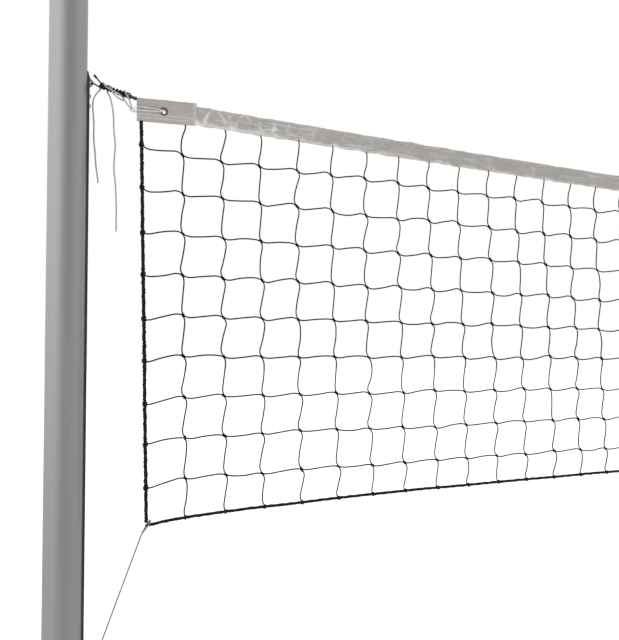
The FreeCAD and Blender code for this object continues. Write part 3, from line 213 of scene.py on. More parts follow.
def canvas(name, low, high, pale):
    """Woven tape: a plain weave, a little soiled, and paler where the mesh's tone attribute says: painted
    highlights along the tape's creases, lighter streaks and bands, and the patches' light seams, frayed ends
    and top edge.
    """
    made = Shader(name, roughness=0.82, sheen_weight=0.25, sheen_roughness=0.5)
    place = made.place((1, 1, 1), "UV")
    warp = made.wave(place, WEAVE, 0.3, "X")
    weft = made.wave(place, WEAVE, 0.3, "Y")
    cloth = made.math("MULTIPLY", warp, weft)
    soil = made.noise(made.place((1, 1, 1)), 14, 5.0, 0.6)
    fleck = made.noise(made.place((1, 1, 1)), 170, 3.0, 0.6)
    tint = made.math("ADD", made.math("MULTIPLY", soil, 0.5), made.math("MULTIPLY", fleck, 0.35))
    tint = made.math("ADD", tint, made.math("MULTIPLY", cloth, 0.15))
    # The tone attribute: painted highlights on the tape's crease ridges, mixed with the tape's lighter
    # streaks and bands and the patches' light seams, frayed end and top edge.
    tone_mask = made.tree.nodes.new("ShaderNodeAttribute")
    tone_mask.attribute_name = "tone"
    blend = made.tree.nodes.new("ShaderNodeMix")
    blend.data_type = "RGBA"
    made.tree.links.new(tone_mask.outputs["Fac"], blend.inputs["Factor"])
    made.tree.links.new(made.ramp(tint, low, high, 0.25, 0.75), blend.inputs["A"])
    blend.inputs["B"].default_value = (*pale, 1)
    made.colour(blend.outputs["Result"])
    made.bump(made.math("ADD", cloth, made.math("MULTIPLY", fleck, 0.8)), 0.45, 0.0004)
    return made.material


def wire(name, low, high):
    """Coated wire cable: strands under a thin grey skin."""
    made = Shader(name, roughness=0.42, metallic=0.55)
    lay = made.wave(made.place((90, 260, 90)), 1.0, 0.6, "DIAGONAL")
    soil = made.noise(made.place((1, 1, 1)), 30, 3.0)
    made.colour(made.ramp(soil, low, high))
    made.roughness(made.span(soil, 0.35, 0.5))
    made.bump(lay, 0.4, 0.0003)
    return made.material


MATERIALS = {
    "post_aluminium": brushed_metal("satin_aluminium", (0.50, 0.495, 0.485), (0.58, 0.575, 0.565), 0.36),
    "black_plastic": moulded("black_plastic", (0.018, 0.018, 0.02), (0.035, 0.035, 0.037), 0.5),
    "rail_black": moulded("dark_rail", (0.022, 0.022, 0.024), (0.045, 0.045, 0.048), 0.42, 500, 0.12),
    "zinc_steel": brushed_metal("zinc_steel", (0.42, 0.43, 0.45), (0.6, 0.61, 0.63), 0.34, EVEN_GRAIN, 0.2),
    "knob_plastic": moulded("knob_plastic", (0.014, 0.014, 0.016), (0.03, 0.03, 0.033), 0.46, 1400, 0.3),
    "patch_canvas": canvas("patch_canvas", (0.34, 0.316, 0.29), (0.43, 0.405, 0.38), (0.66, 0.65, 0.63)),
    "grommet_steel": brushed_metal("grommet_steel", (0.13, 0.13, 0.125), (0.3, 0.3, 0.29), 0.36,
                                   (400, 400, 400), 0.3),
    "rope_black": thread("black_rope", BLACK, SOFT_BLACK, (260, 3, 1), sheen=0.02, gloss=0.15),
    "tie_cord_light": thread("light_cord", (0.56, 0.55, 0.53), (0.78, 0.775, 0.76), (900, 4, 1)),
    "tie_cord_grey": thread("grey_cord", (0.17, 0.17, 0.167), (0.32, 0.32, 0.315), (900, 4, 1)),
    "tape_canvas": canvas("tape_canvas", (0.325, 0.303, 0.278), (0.43, 0.405, 0.378), (0.68, 0.67, 0.655)),
    "net_cord_black": thread("net_thread", BLACK, (0.014, 0.014, 0.015), (300, 2, 1), sheen=0.02, gloss=0.15),
    "cable_coated": wire("coated_cable", (0.28, 0.29, 0.3), (0.42, 0.43, 0.44)),
    "lashing_black": thread("black_line", BLACK, SOFT_BLACK, (700, 4, 1), sheen=0.02, gloss=0.15),
    "clamp_metal": brushed_metal("clamp_metal", (0.03, 0.03, 0.03), (0.075, 0.075, 0.075), 0.4,
                                 EVEN_GRAIN, 0.2),
    "pulley_nylon": moulded("pulley_nylon", (0.5, 0.49, 0.46), (0.62, 0.61, 0.58), 0.4),
    "bracket_paint": moulded("bracket_paint", (0.035, 0.036, 0.038), (0.06, 0.061, 0.064), 0.36, 700, 0.12),
    "drum_steel": brushed_metal("drum_steel", (0.4, 0.41, 0.43), (0.58, 0.59, 0.61), 0.32, EVEN_GRAIN, 0.2),
}
# Two finishes for single pieces that look darker than the rest of their slot.
TAIL_FINISH = thread("tail_cord", (0.30, 0.30, 0.295), (0.48, 0.48, 0.47), (900, 4, 1))
DARK_STEEL = brushed_metal("dark_steel", (0.10, 0.10, 0.10), (0.22, 0.22, 0.22), 0.42, EVEN_GRAIN, 0.2)

slot_of = {entry["node"]: entry["material_slot"] for entry in frame["record"]["subparts"]}
for label, node in nodes.items():
    node.data.materials.clear()
    node.data.materials.append(MATERIALS[slot_of[label]])
nodes["cable_terminal"].data.materials[0] = DARK_STEEL


# ---------------------------------------------------------------- mesh building

def piece(name, shape, slot):
    """A smooth mesh piece on the net carriage, from its points, four-cornered faces and texture places."""
    vertices, faces, texture = shape
    mesh = bpy.data.meshes.new(name)
    corners = faces.shape[1]
    mesh.vertices.add(len(vertices))
    mesh.vertices.foreach_set("co", np.ascontiguousarray(vertices, dtype=np.float32).ravel())
    mesh.loops.add(faces.size)
    mesh.loops.foreach_set("vertex_index", faces.astype(np.int32).ravel())
    mesh.polygons.add(len(faces))
    mesh.polygons.foreach_set("loop_start", np.arange(0, faces.size, corners, dtype=np.int32))
    mesh.polygons.foreach_set("loop_total", np.full(len(faces), corners, dtype=np.int32))
    mesh.polygons.foreach_set("use_smooth", np.full(len(faces), True))
    mesh.update(calc_edges=True)
    layer = mesh.uv_layers.new(name="UVMap")
    layer.data.foreach_set("uv", texture[faces.ravel()].astype(np.float32).ravel())
    mesh.validate()
    made = bpy.data.objects.new(name, mesh)
    scene.collection.objects.link(made)
    mesh.materials.append(MATERIALS[slot])
    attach(made, CARRIAGE)
    return made


def ring_faces(count, steps, sides):
    """Faces round and along a number of tubes, each of so many rings of so many points."""
    index = np.arange(count * steps * sides).reshape(count, steps, sides)
    turned = np.roll(index, -1, axis=2)
    return np.stack([index[:, :-1], turned[:, :-1], turned[:, 1:], index[:, 1:]], axis=3).reshape(-1, 4)


def tubes(paths, radius, sides=6):
    """Round tubes along many paths of the same number of points: (vertices, faces, texture)."""
    count, steps, _ = paths.shape
    along = np.gradient(paths, axis=1)
    along /= np.linalg.norm(along, axis=2, keepdims=True)
    across = np.cross(along, np.array([0.0, 1.0, 0.0]))
    across /= np.linalg.norm(across, axis=2, keepdims=True)
    other = np.cross(along, across)
    angle = np.arange(sides) * 2 * math.pi / sides
    ring = across[:, :, None] * np.cos(angle)[None, None, :, None]
    ring = ring + other[:, :, None] * np.sin(angle)[None, None, :, None]
    width = np.broadcast_to(np.asarray(radius, dtype=float), (count, steps))
    vertices = paths[:, :, None] + ring * width[:, :, None, None]
    travel = np.linalg.norm(np.diff(paths, axis=1), axis=2).cumsum(axis=1)
    travel = np.concatenate([np.zeros((count, 1)), travel], axis=1)
    turn = (angle / (2 * math.pi))[None, None, :]
    texture = np.stack(np.broadcast_arrays(travel[:, :, None], turn), axis=3)
    return vertices.reshape(-1, 3), ring_faces(count, steps, sides), texture.reshape(-1, 2)


def tubes_along(line, radius, sides=5):
    """One tube along a line that may turn any way."""
    along = np.gradient(line, axis=0)
    along /= np.linalg.norm(along, axis=1, keepdims=True)
    axis = np.cross(along[0], [0.3, 0.5, 0.81])
    frames = []
    for step in along:
        axis = axis - step * np.dot(axis, step)
        axis = axis / np.linalg.norm(axis)
        frames.append(axis)
    across = np.array(frames)
    other = np.cross(along, across)
    angle = np.arange(sides) * 2 * math.pi / sides
    ring = across[:, None] * np.cos(angle)[None, :, None] + other[:, None] * np.sin(angle)[None, :, None]
    vertices = (line[:, None] + ring * radius).reshape(-1, 3)
    travel = np.concatenate([[0], np.linalg.norm(np.diff(line, axis=0), axis=1).cumsum()])
    texture = np.stack(np.broadcast_arrays(travel[:, None], (angle / (2 * math.pi))[None]), axis=2)
    return vertices, ring_faces(1, len(line), sides), texture.reshape(-1, 2)


def joined(parts):
    """Several (vertices, faces, texture) as one."""
    offset = 0
    moved = []
    for vertices, faces, _ in parts:
        moved.append(faces + offset)
        offset += len(vertices)
    return (np.concatenate([part[0] for part in parts]), np.concatenate(moved),
            np.concatenate([part[2] for part in parts]))


def at_side(points, side):
    """Points of the left end, or the same ones at the right end."""
    points = np.asarray(points, dtype=float)
    if side == "left":
        return points
    return np.array([SPACING, 0.0, 0.0]) + points * np.array([-1.0, -1.0, 1.0])


def wander(points, size, wavelength, seed):
    """Smooth random offsets for an array of points, the same on every run."""
    flat = points.reshape(-1, 3) / wavelength + seed
    moved = np.array([noise.noise_vector(Vector(point)) for point in flat])
    return moved.reshape(points.shape) * size


# ---------------------------------------------------------------- netting

THREAD_R = 0.0018
THREAD_STEPS = 11
KNOT_SIDES = 8
KNOT_RINGS = 6
KNOT_SMALL = 0.0031
KNOT_LARGE = 0.0041
# How far threads swing out of line: at most, in the lowest row, and in the columns' top steps.
FULL_SWING = 0.0092
LOW_SWING = 0.0042
TOP_SWING = 0.005
TOP_SHIFT = 0.009
TOP_DROP = 0.018
# Heights of the rows' joints on the side ropes, against the mesh's own rows, from the tape down.
ROPE_JOINTS = (0, 0.0095, 0.0056, -0.003, -0.004, -0.0114, -0.013, -0.016, -0.0126, -0.0165, 0)


def sag(x):
    """Share of the full sag at a distance from the left side rope."""
    return 1 - (1 - x / HALF_SPAN) ** 2


def lean(x):
    """Columns lean towards the middle at their lower ends, most of all beside the poles."""
    near = np.minimum(x, 2 * HALF_SPAN - x)
    amount = 0.014 * (1 - near / HALF_SPAN) + 0.034 * near * np.exp(-(near / 2.6) ** 2)
    return np.where(x < HALF_SPAN, amount, -amount)


def net_point(column, row):
    """Where a knot of the netting is, before it wanders. The lowest row rises beside the side ropes."""
    x = np.asarray(column, dtype=float) * MESH
    near = np.minimum(x, 2 * HALF_SPAN - x)
    step = MESH - (HEAD_SAG + FOOT_RISE) / ROWS * sag(x)
    depth = np.asarray(row, dtype=float) * step
    last = np.clip(np.asarray(row, dtype=float) - (ROWS - 1), 0, 1)
    lift = 0.0175 * (1 - np.exp(-near / 0.25)) * last
    height = ROW_ZERO - HEAD_SAG * sag(x) - depth + lift
    return np.stack(np.broadcast_arrays(ROPE_X + x + lean(x) * depth, 0.0, height), axis=-1)


def knots():
    """All the crossings, rope ends included, with the unevenness of a knotted net."""
    columns, rows = np.meshgrid(np.arange(COLUMNS + 1), np.arange(ROWS + 1), indexing="ij")
    places = net_point(columns, rows)
    loose = random_source.normal(0, 1, places.shape) * np.array([0.0019, 0.0016, 0.0019])
    loose[0] = 0
    loose[-1] = 0
    loose[:, -1] *= 0.2
    drift = wander(places, 0.0035, 0.45, 3.7)
    drift[0] = 0
    drift[-1] = 0
    return places + loose + drift


def threads(starts, ends, swing, side_way):
    """Threads from knot to knot, slanting at both knots and nearly straight between them."""
    t = np.linspace(0, 1, THREAD_STEPS)
    ease = 1 - np.cos(np.clip(np.stack([t * 6, (1 - t) * 6]), 0, 1) * math.pi)
    bell = (1 - 2 * t) * ease[0] * ease[1] / 4
    uneven = random_source.uniform(0.55, 1.35, len(starts))
    bow = random_source.normal(0, 0.0022, len(starts))
    line = starts[:, None] + (ends - starts)[:, None] * t[None, :, None]
    shift = (swing * uneven)[:, None] * bell[None] + bow[:, None] * (np.sin(math.pi * t) ** 2)[None]
    depth = (random_source.normal(0, 0.002, len(starts)))[:, None] * (np.sin(math.pi * t))[None]
    line = line + shift[:, :, None] * np.array(side_way)[None, None]
    line[:, :, 1] += depth
    return line


def diagonal_knots(places, sizes):
    """Small lumps, longer from upper left to lower right, two loops wide."""
    turn = np.linspace(0, 2 * math.pi, KNOT_SIDES, endpoint=False)
    rings = np.linspace(-1, 1, KNOT_RINGS)
    base = []
    for ring in rings:
        girth = math.sqrt(max(1 - ring ** 2, 0.05)) * (1 + 0.16 * math.cos(ring * 7))
        for angle in turn:
            base.append((ring * 1.9, girth * math.cos(angle), girth * math.sin(angle)))
    base = np.array(base)
    tilt = random_source.normal(math.radians(-48), 0.2, len(places))
    cos, sin = np.cos(tilt), np.sin(tilt)
    x = base[None, :, 0] * cos[:, None] - base[None, :, 2] * sin[:, None]
    z = base[None, :, 0] * sin[:, None] + base[None, :, 2] * cos[:, None]
    y = np.broadcast_to(base[None, :, 1], x.shape)
    vertices = (places[:, None] + np.stack([x, y, z], axis=2) * sizes[:, None, None]).reshape(-1, 3)
    return vertices, ring_faces(len(places), len(rings), len(turn)), np.zeros((len(vertices), 2))


# The columns' top ends are inside the tape's lower edge, a little further along than the mesh would put them.
places = knots()
places[:, 0, 0] += TOP_SHIFT
places[:, 0, 1] = 0.0
places[:, 0, 2] -= TOP_DROP
places[0, :, 2] += ROPE_JOINTS
places[-1, :, 2] += ROPE_JOINTS
row_starts = places[:-1, 1:ROWS].reshape(-1, 3)
row_ends = places[1:, 1:ROWS].reshape(-1, 3)
row_swing = np.broadcast_to(np.linspace(FULL_SWING, LOW_SWING, ROWS - 1), (COLUMNS, ROWS - 1))
row_lines = threads(row_starts, row_ends, row_swing.ravel(), (0, 0, -1))
column_starts = places[1:-1, :-1].reshape(-1, 3)
column_ends = places[1:-1, 1:].reshape(-1, 3)
column_swing = np.full((COLUMNS - 1, ROWS), FULL_SWING)
column_swing[:, 0] = TOP_SWING
column_lines = threads(column_starts, column_ends, column_swing.ravel(), (1, 0, 0))
inner = places[1:-1, 1:ROWS].reshape(-1, 3)
lumps = diagonal_knots(inner, random_source.uniform(KNOT_SMALL, KNOT_LARGE, len(inner)))
rows_piece = piece("netting_row_threads", tubes(row_lines, THREAD_R), "net_cord_black")
columns_piece = piece("netting_column_threads", tubes(column_lines, THREAD_R), "net_cord_black")
piece("netting_knots", lumps, "net_cord_black")
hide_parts("netting_rows")
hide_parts("netting_columns")


# ---------------------------------------------------------------- edge ropes

SIDE_ROPE_TOP = np.array([0.1712, 0.0, 2.186])
SIDE_ROPE_FOOT = np.array([0.1915, 0.0, 1.2195])
SIDE_ROPE_R = 0.0045
SIDE_ROPE_STEPS = 260
FOOT_ROPE_R = 0.004
FOOT_ROPE_STEPS = 2900


def rope_strands(line, radius, pitch, strand_count=3, sides=6, fray=0.0006, seed=0.0, width=0.56):
    """Twisted strands round a line of points, with a rough hand-laid surface."""
    travel = np.concatenate([[0], np.linalg.norm(np.diff(line, axis=0), axis=1).cumsum()])
    along = np.gradient(line, axis=0)
    along /= np.linalg.norm(along, axis=1, keepdims=True)
    across = np.cross(along, np.array([0.0, 1.0, 0.0]))
    across /= np.linalg.norm(across, axis=1, keepdims=True)
    other = np.cross(along, across)
    paths = []
    for strand in range(strand_count):
        angle = travel / pitch * 2 * math.pi + strand * 2 * math.pi / strand_count
        reach = radius * 0.5 * (1 + 0.15 * np.sin(travel * 41 + strand * 2.1 + seed))
        ring = across * np.cos(angle)[:, None] + other * np.sin(angle)[:, None]
        paths.append(line + ring * reach[:, None])
    paths = np.array(paths)
    paths = paths + wander(paths, fray, 0.012, 11.3 + seed)
    thick = radius * width * (1 + 0.1 * np.sin(travel * 230 + seed))
    return tubes(paths, np.broadcast_to(thick, (strand_count, len(line))), sides)


def whipping(centre, along, rope_radius, turns, seed, thread_radius=0.0014):
    """Thread wound round a rope at a joint."""
    t = np.linspace(0, 1, turns * 9 + 1)
    along = np.asarray(along, dtype=float)
    along /= np.linalg.norm(along)
    across = np.cross(along, np.array([0.0, 1.0, 0.0]))
    across /= np.linalg.norm(across)
    other = np.cross(along, across)
    angle = t * turns * 2 * math.pi + seed
    reach = rope_radius + thread_radius * (0.7 + 0.3 * np.sin(t * 17 + seed))
    line = centre + along * ((t - 0.5) * turns * thread_radius * 2.3)[:, None]
    line = line + (across * np.cos(angle)[:, None] + other * np.sin(angle)[:, None]) * reach[:, None]
    return tubes_along(line, thread_radius)


def side_rope(side):
    """The black rope down one end of the net, with a thin cord wound round it and a whipping at every row."""
    top, foot = SIDE_ROPE_TOP, SIDE_ROPE_FOOT
    line = top + (foot - top) * np.linspace(0, 1, SIDE_ROPE_STEPS)[:, None]
    line = line + wander(line, 0.0006, 0.11, 5.1)
    line = at_side(line, side)
    parts = [rope_strands(line, SIDE_ROPE_R, 0.025, seed=1.0 if side == "left" else 2.0),
             rope_strands(line, 0.0086, 0.034, strand_count=1, fray=0.0008, seed=4.0, width=0.1)]
    column = 0 if side == "left" else COLUMNS
    for row in range(1, ROWS):
        joint = places[column, row]
        share = (top[2] - joint[2]) / (top[2] - foot[2])
        centre = at_side(top + (foot - top) * share, side)
        parts.append(whipping(centre, (0.02, 0, -1), 0.0047, 3, row * 1.3))
    made = piece(f"{side}_twisted_side_rope", joined(parts), "rope_black")
    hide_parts(f"{side}_side_rope")


def foot_rope():
    """The thinner rope along the net's lower edge."""
    x = np.linspace(SIDE_ROPE_R, 2 * HALF_SPAN - SIDE_ROPE_R, FOOT_ROPE_STEPS)
    line = net_point(x / MESH, ROWS)
    near = np.minimum(x, 2 * HALF_SPAN - x)
    line[:, 2] -= 0.006 * np.exp(-near / 0.05)
    line = line + wander(line, 0.0016, 0.12, 8.2) + wander(line, 0.0022, 0.6, 2.2)
    parts = [rope_strands(line, FOOT_ROPE_R, 0.024, sides=5, seed=3.0)]
    for column in range(1, COLUMNS):
        spot = int(np.argmin(np.abs(line[:, 0] - places[column, ROWS, 0])))
        ahead = line[min(spot + 3, FOOT_ROPE_STEPS - 1)]
        parts.append(whipping(line[spot], ahead - line[spot - 3], FOOT_ROPE_R, 2, column * 0.7, 0.0012))
    made = piece("twisted_foot_rope", joined(parts), "rope_black")
    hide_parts("bottom_rope")


for side in SIDES:
    side_rope(side)
foot_rope()


# ---------------------------------------------------------------- head tape and end patches

TAPE_HEIGHT = 0.046
TAPE_HALF = 0.0033
TAPE_START = 0.304
TAPE_STEPS = 1150
TAPE_ROWS = 18
PATCH_HEIGHT = 0.0555
PATCH_HALF = 0.0036
PATCH_TOP = 2.2399
PATCH_TILT = 1.5
PATCH_STEPS = 100
PATCH_ROWS = 24
HOLE_R = 0.0078
CANVAS_THICKNESS = 0.0009
SEAMS = (0.0385, 0.0462)
FRAY_START = 0.136
# Steps in the noise that give the far end and the back face creases of their own.
FAR_END = 20.0
BACK_FACE = 40.0


def head_line(x):
    """Height of the tape's top edge at a distance along X from the left pole."""
    return TAPE_TOP - HEAD_SAG * sag(x - ROPE_X)


def crease(along, down, height, seed):
    """Folds of gathered canvas and how light each point is: painted highlights along the sharp crease ridges,
    strongest near the ends, and lighter streaks, a lighter scalloped lap below and a lighter band along the
    top edge.
    """
    fold = np.zeros(along.shape)
    light = np.zeros(along.shape)
    for index in np.ndindex(along.shape):
        u, v = along[index], down[index]
        end = math.exp(-min(u % FAR_END, 9.0) / 0.45)
        slant = 1.9 * noise.noise(Vector((u / 0.13, seed, 2.0)))
        broad = noise.noise(Vector(((u + v * slant) / 0.03, v / 0.06, seed)))
        ridge = 1 - abs(noise.noise(Vector(((u + v * slant) / 0.042, v / 0.05, seed + 4)))) * 5.5
        fine = 1 - abs(noise.noise(Vector(((u - v * slant * 0.8) / 0.026, v / 0.045, seed + 9)))) * 7.0
        ridge = max(ridge, 0.0)
        fine = max(fine, 0.0)
        edge = 0.9 - 0.14 * end + (0.12 + 0.34 * end) * noise.noise(Vector((u / 0.046, seed, 5.0)))
        edge += 0.06 * noise.noise(Vector((u / 0.013, seed, 8.0)))
        lap = min(max((v / height - edge) / 0.05, 0.0), 1.0)
        fold[index] = broad * (0.6 + 1.1 * end) + ridge * (0.45 + end) + fine * 0.3 - lap * 0.8
        patchy = 0.5 + noise.noise(Vector((u / 0.02, v / 0.012, seed + 13)))
        # Painted highlights along the crease ridges, strongest near the ends.
        light[index] = max(ridge ** 3 * (0.14 + 0.8 * end), fine ** 3 * (0.08 + 0.4 * end)) * patchy * 1.7
        light[index] = max(light[index], lap * (0.3 + 0.3 * end + 0.25 * patchy))
        streak = 1.6 * noise.noise(Vector((u / 0.07, v / 0.0045, seed + 17))) - 0.3
        light[index] = max(light[index], streak * 0.8)
        light[index] = max(light[index], max(1.1 - v / height * 9, 0.0) * (0.25 + 0.6 * patchy))
    return fold, np.clip(light, 0, 1)


def flat_crease(along, down, height, seed):
    """The sewn patch: nearly flat, with seam lines near its lower edge and a frayed light end."""
    fold = np.zeros(along.shape)
    light = np.zeros(along.shape)
    for index in np.ndindex(along.shape):
        u, v = along[index], down[index]
        rough = 0.5 + noise.noise(Vector((u / 0.006, v / 0.004, seed)))
        drift = 0.0016 * noise.noise(Vector((u / 0.03, seed, 1.0)))
        seam = max(1 - abs(v - SEAMS[0] - drift) / 0.0024, 1 - abs(v - SEAMS[1] + drift) / 0.002, 0.0)
        fray = max((u % FAR_END - FRAY_START) / 0.01, 0.0)
        fold[index] = noise.noise(Vector((u / 0.04, v / 0.03, seed))) - seam * 0.8
        rim = max(0.7 - v / height * 14, 0.0)
        light[index] = max(seam * (0.35 + 0.35 * rough), fray * (0.3 + 0.7 * rough), rim * rough)
    return fold, np.clip(light, 0, 1)


def folded_strip(name, slot, along, top, height, half, crease_size, edge_size, seed, side, creases, rows,
                 hole=None):
    """A canvas strip folded over the cable and nearly closed below, with creases and uneven edges."""
    drop = np.linspace(1, 0, rows) ** 0.95
    front = [(height * d, -1.0) for d in drop[:-1]]
    crown = [(0.0, -0.55), (-0.0006, 0.0), (0.0, 0.55)]
    back = [(height * d, 1.0) for d in drop[::-1][1:]]
    profile = front + crown + back
    down = np.array([p[0] for p in profile])
    way = np.array([p[1] for p in profile])
    count = len(along)
    grid_down = np.broadcast_to(down[None], (count, len(profile)))
    start = along - along[0]
    place = start
    if creases is crease:
        place = np.minimum(start, start[-1] - start) + (start > start[-1] / 2) * FAR_END
    grid_place = np.broadcast_to(place[:, None], grid_down.shape) + (way[None] > 0) * BACK_FACE
    fold, light = creases(grid_place, grid_down, height, seed)
    share = np.clip(grid_down / height, 0, 1)
    bulk = half * (1 - 0.45 * share ** 1.6)
    swell = np.array([noise.noise(Vector((a / 0.05, seed, 0))) for a in along])
    ruffle = np.array([noise.noise(Vector((a / 0.012, seed, 4))) for a in along])
    lift = swell + 0.6 * ruffle
    hem = np.array([noise.noise(Vector((a / 0.032, seed, 7))) for a in along])
    frill = np.array([noise.noise(Vector((a / 0.011, seed, 3))) for a in along])
    y = way[None] * bulk + np.sign(way)[None] * fold * crease_size * np.sqrt(share)
    z = top[:, None] - grid_down + lift[:, None] * edge_size * (1 - share)
    z = z + (hem * edge_size * 1.2 + frill * edge_size * 0.5)[:, None] * share
    x = np.broadcast_to(along[:, None], z.shape)
    points = at_side(np.stack([x, y, z], axis=2), side)
    index = np.arange(count * len(profile)).reshape(count, len(profile))
    faces = np.stack([index[:-1, :-1], index[1:, :-1], index[1:, 1:], index[:-1, 1:]], axis=2).reshape(-1, 4)
    travel = np.concatenate([[0], np.abs(np.diff(down)).cumsum()])
    texture = np.stack(np.broadcast_arrays(start[:, None], travel[None]), axis=2).reshape(-1, 2)
    vertices = points.reshape(-1, 3)
    if hole is not None:
        centre, radius = hole
        middle = vertices[faces].mean(axis=1)
        outside = np.hypot(middle[:, 0] - centre[0], middle[:, 2] - centre[2]) > radius
        faces = faces[outside]
    made = piece(name, (vertices, faces, texture), slot)
    tone = made.data.attributes.new("tone", "FLOAT", "POINT")
    tone.data.foreach_set("value", light.ravel().astype(np.float32))
    skin = made.modifiers.new("thickness", "SOLIDIFY")
    skin.thickness = CANVAS_THICKNESS
    skin.offset = 0.0
    return made


def tape():
    """The head tape between the patches, with its steps closer together towards both ends."""
    share = np.linspace(0, 1, TAPE_STEPS)
    share = share - 0.45 * np.sin(2 * math.pi * share) / (2 * math.pi)
    along = TAPE_START + share * (SPACING - 2 * TAPE_START)
    made = folded_strip("wrinkled_head_tape", "tape_canvas", along, head_line(along), TAPE_HEIGHT, TAPE_HALF,
                        0.0019, 0.0026, 1.0, "left", crease, TAPE_ROWS)
    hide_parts("head_tape")


def patch(side):
    """The flat reinforced end of the tape, a little taller, with the grommet's hole through it."""
    ring_low, ring_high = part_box(f"{side}_grommet")
    along = np.linspace(0.1606, 0.3074, PATCH_STEPS)
    rise = math.tan(math.radians(PATCH_TILT))
    top = PATCH_TOP + (along - along[0]) * rise
    centre = (ring_low + ring_high) / 2
    made = folded_strip(f"{side}_folded_patch", "patch_canvas", along, top, PATCH_HEIGHT, PATCH_HALF,
                        0.00035, 0.0007, 5.0 if side == "left" else 6.0, side, flat_crease, PATCH_ROWS,
                        (centre, HOLE_R))
    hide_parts(f"{side}_end_patch")


tape()
for side in SIDES:
    patch(side)


# ---------------------------------------------------------------- ties and lashing

MM = 0.001
LINE_WIDTH = 0.0036
TIE_WIDTH = 0.0031
TAIL_WIDTH = 0.0037
CORNER_WIDTH = 0.0037
HITCH_SIZE = 0.0036
HITCH_CORD_R = 0.0013
SERVING_R = 0.0017

# Routes of the free cords at the left end, in millimetres, as the frame has them.
LASHING_LINE = (
    (52.1, 7.0, 2262.0), (52.1, -4.5, 2261.8), (58.5, -5.5, 2259.4), (67.0, -3.4, 2255.6),
    (77.0, 0.0, 2253.5), (85.0, 2.9, 2254.6), (93.0, 0.0, 2255.6), (101.0, -2.9, 2250.9),
    (109.0, 0.0, 2246.3), (134.0, 0.0, 2240.7), (141.0, 0.0, 2235.9), (147.2, 0.0, 2241.6),
    (142.6, 0.0, 2250.0), (134.0, 0.0, 2246.2), (109.0, 0.0, 2251.9), (101.0, 2.9, 2250.9),
    (93.0, 0.0, 2249.8), (85.0, -2.9, 2255.0), (77.0, 0.0, 2262.6), (70.5, -0.6, 2269.2),
    (64.5, -1.2, 2275.4),
)
TIE_WRAP = (
    (147.0, 0.0, 2209.0), (152.0, -5.6, 2213.6), (161.0, -6.6, 2219.6), (213.0, -6.6, 2215.7),
    (222.4, -6.8, 2215.2), (222.7, 0.0, 2215.1), (222.4, 6.8, 2215.0), (211.0, 6.6, 2214.4),
    (161.0, 6.6, 2213.0), (153.4, 4.2, 2211.6), (153.0, -4.6, 2209.8), (161.0, -6.6, 2208.8),
    (211.0, -6.6, 2211.4), (222.2, -6.8, 2211.8), (222.5, 0.0, 2211.7), (222.2, 6.8, 2211.6),
    (211.0, 6.6, 2210.8), (161.0, 6.6, 2207.6), (152.4, 5.2, 2206.6), (147.0, 1.0, 2207.6),
)
SHORT_TAIL = (
    (145.4, -1.0, 2211.5), (138.5, -5.0, 2217.5), (132.4, -7.6, 2224.8), (125.6, -8.4, 2233.0),
    (118.4, -8.8, 2240.4), (108.0, -9.4, 2245.2), (97.5, -10.6, 2248.6), (88.0, -9.6, 2253.4),
    (82.0, -6.8, 2260.0), (79.2, -0.4, 2267.4), (76.4, 6.0, 2262.6), (74.2, 6.4, 2254.2),
    (73.0, 1.2, 2248.0), (70.0, -5.2, 2243.6), (65.0, -8.8, 2237.6), (59.4, -9.6, 2229.4),
    (55.6, -9.6, 2218.0), (54.9, -9.2, 2203.0), (57.0, -8.6, 2183.0), (58.8, -8.0, 2158.0),
    (57.6, -8.0, 2128.0), (61.8, -8.4, 2097.0), (63.2, -8.6, 2066.0), (67.4, -8.2, 2043.0),
    (69.6, -8.0, 2024.4),
)
LONG_TAIL = (
    (147.8, -1.6, 2212.6), (144.6, -6.4, 2221.0), (139.6, -10.2, 2231.0), (134.4, -10.0, 2241.0),
    (130.6, -6.4, 2250.0), (129.0, 0.0, 2254.0), (128.4, 6.0, 2249.4), (129.6, 7.6, 2241.0),
    (130.4, 6.0, 2233.0), (127.0, 0.6, 2229.6), (119.0, -4.6, 2230.6), (110.0, -6.6, 2235.0),
    (102.8, -7.2, 2242.0), (98.0, -6.8, 2250.0), (94.6, -5.8, 2258.4), (92.6, 0.0, 2262.2),
    (91.0, 6.0, 2257.6), (90.4, 6.6, 2249.0), (90.8, 1.6, 2243.2), (92.4, -5.6, 2238.8),
    (95.6, -9.8, 2229.0), (99.8, -10.4, 2212.0), (103.8, -9.4, 2185.0), (104.0, -8.8, 2152.0),
    (109.0, -8.4, 2121.0), (106.4, -8.2, 2090.0), (105.0, -8.4, 2060.0), (109.4, -8.6, 2028.0),
    (110.8, -8.4, 1996.0), (112.6, -8.2, 1962.0), (111.6, -8.0, 1934.0), (112.6, -8.0, 1912.0),
)
BOTTOM_TIE = (
    (184.6, 1.6, 1199.8), (190.0, 5.4, 1206.8), (195.6, 6.6, 1214.4), (199.8, 5.2, 1221.2),
    (201.2, 0.0, 1224.8), (199.4, -5.4, 1220.8), (195.2, -6.8, 1213.8), (189.6, -5.6, 1206.0),
    (182.6, -1.4, 1197.0), (175.6, 0.0, 1181.0), (62.6, 0.0, 881.0), (57.4, -6.2, 866.6),
    (56.6, -5.2, 856.6), (56.2, 2.0, 854.2), (56.4, 6.8, 860.4), (58.2, 5.6, 869.6), (61.6, 2.0, 879.0),
)
RIGHT_LINE = (
    (145.4, -1.0, 2211.5), (139.6, -4.4, 2222.0), (134.0, -5.8, 2235.0), (131.0, -5.2, 2246.0),
    (131.4, 0.0, 2250.8), (130.6, 5.0, 2246.0), (132.0, 5.2, 2237.0), (137.0, 3.4, 2225.0),
    (144.0, 1.4, 2213.0),
)
KNOTS = ((146.4, 0.0, 2209.0), (182.6, 0.0, 1197.6), (61.6, 1.4, 878.0))


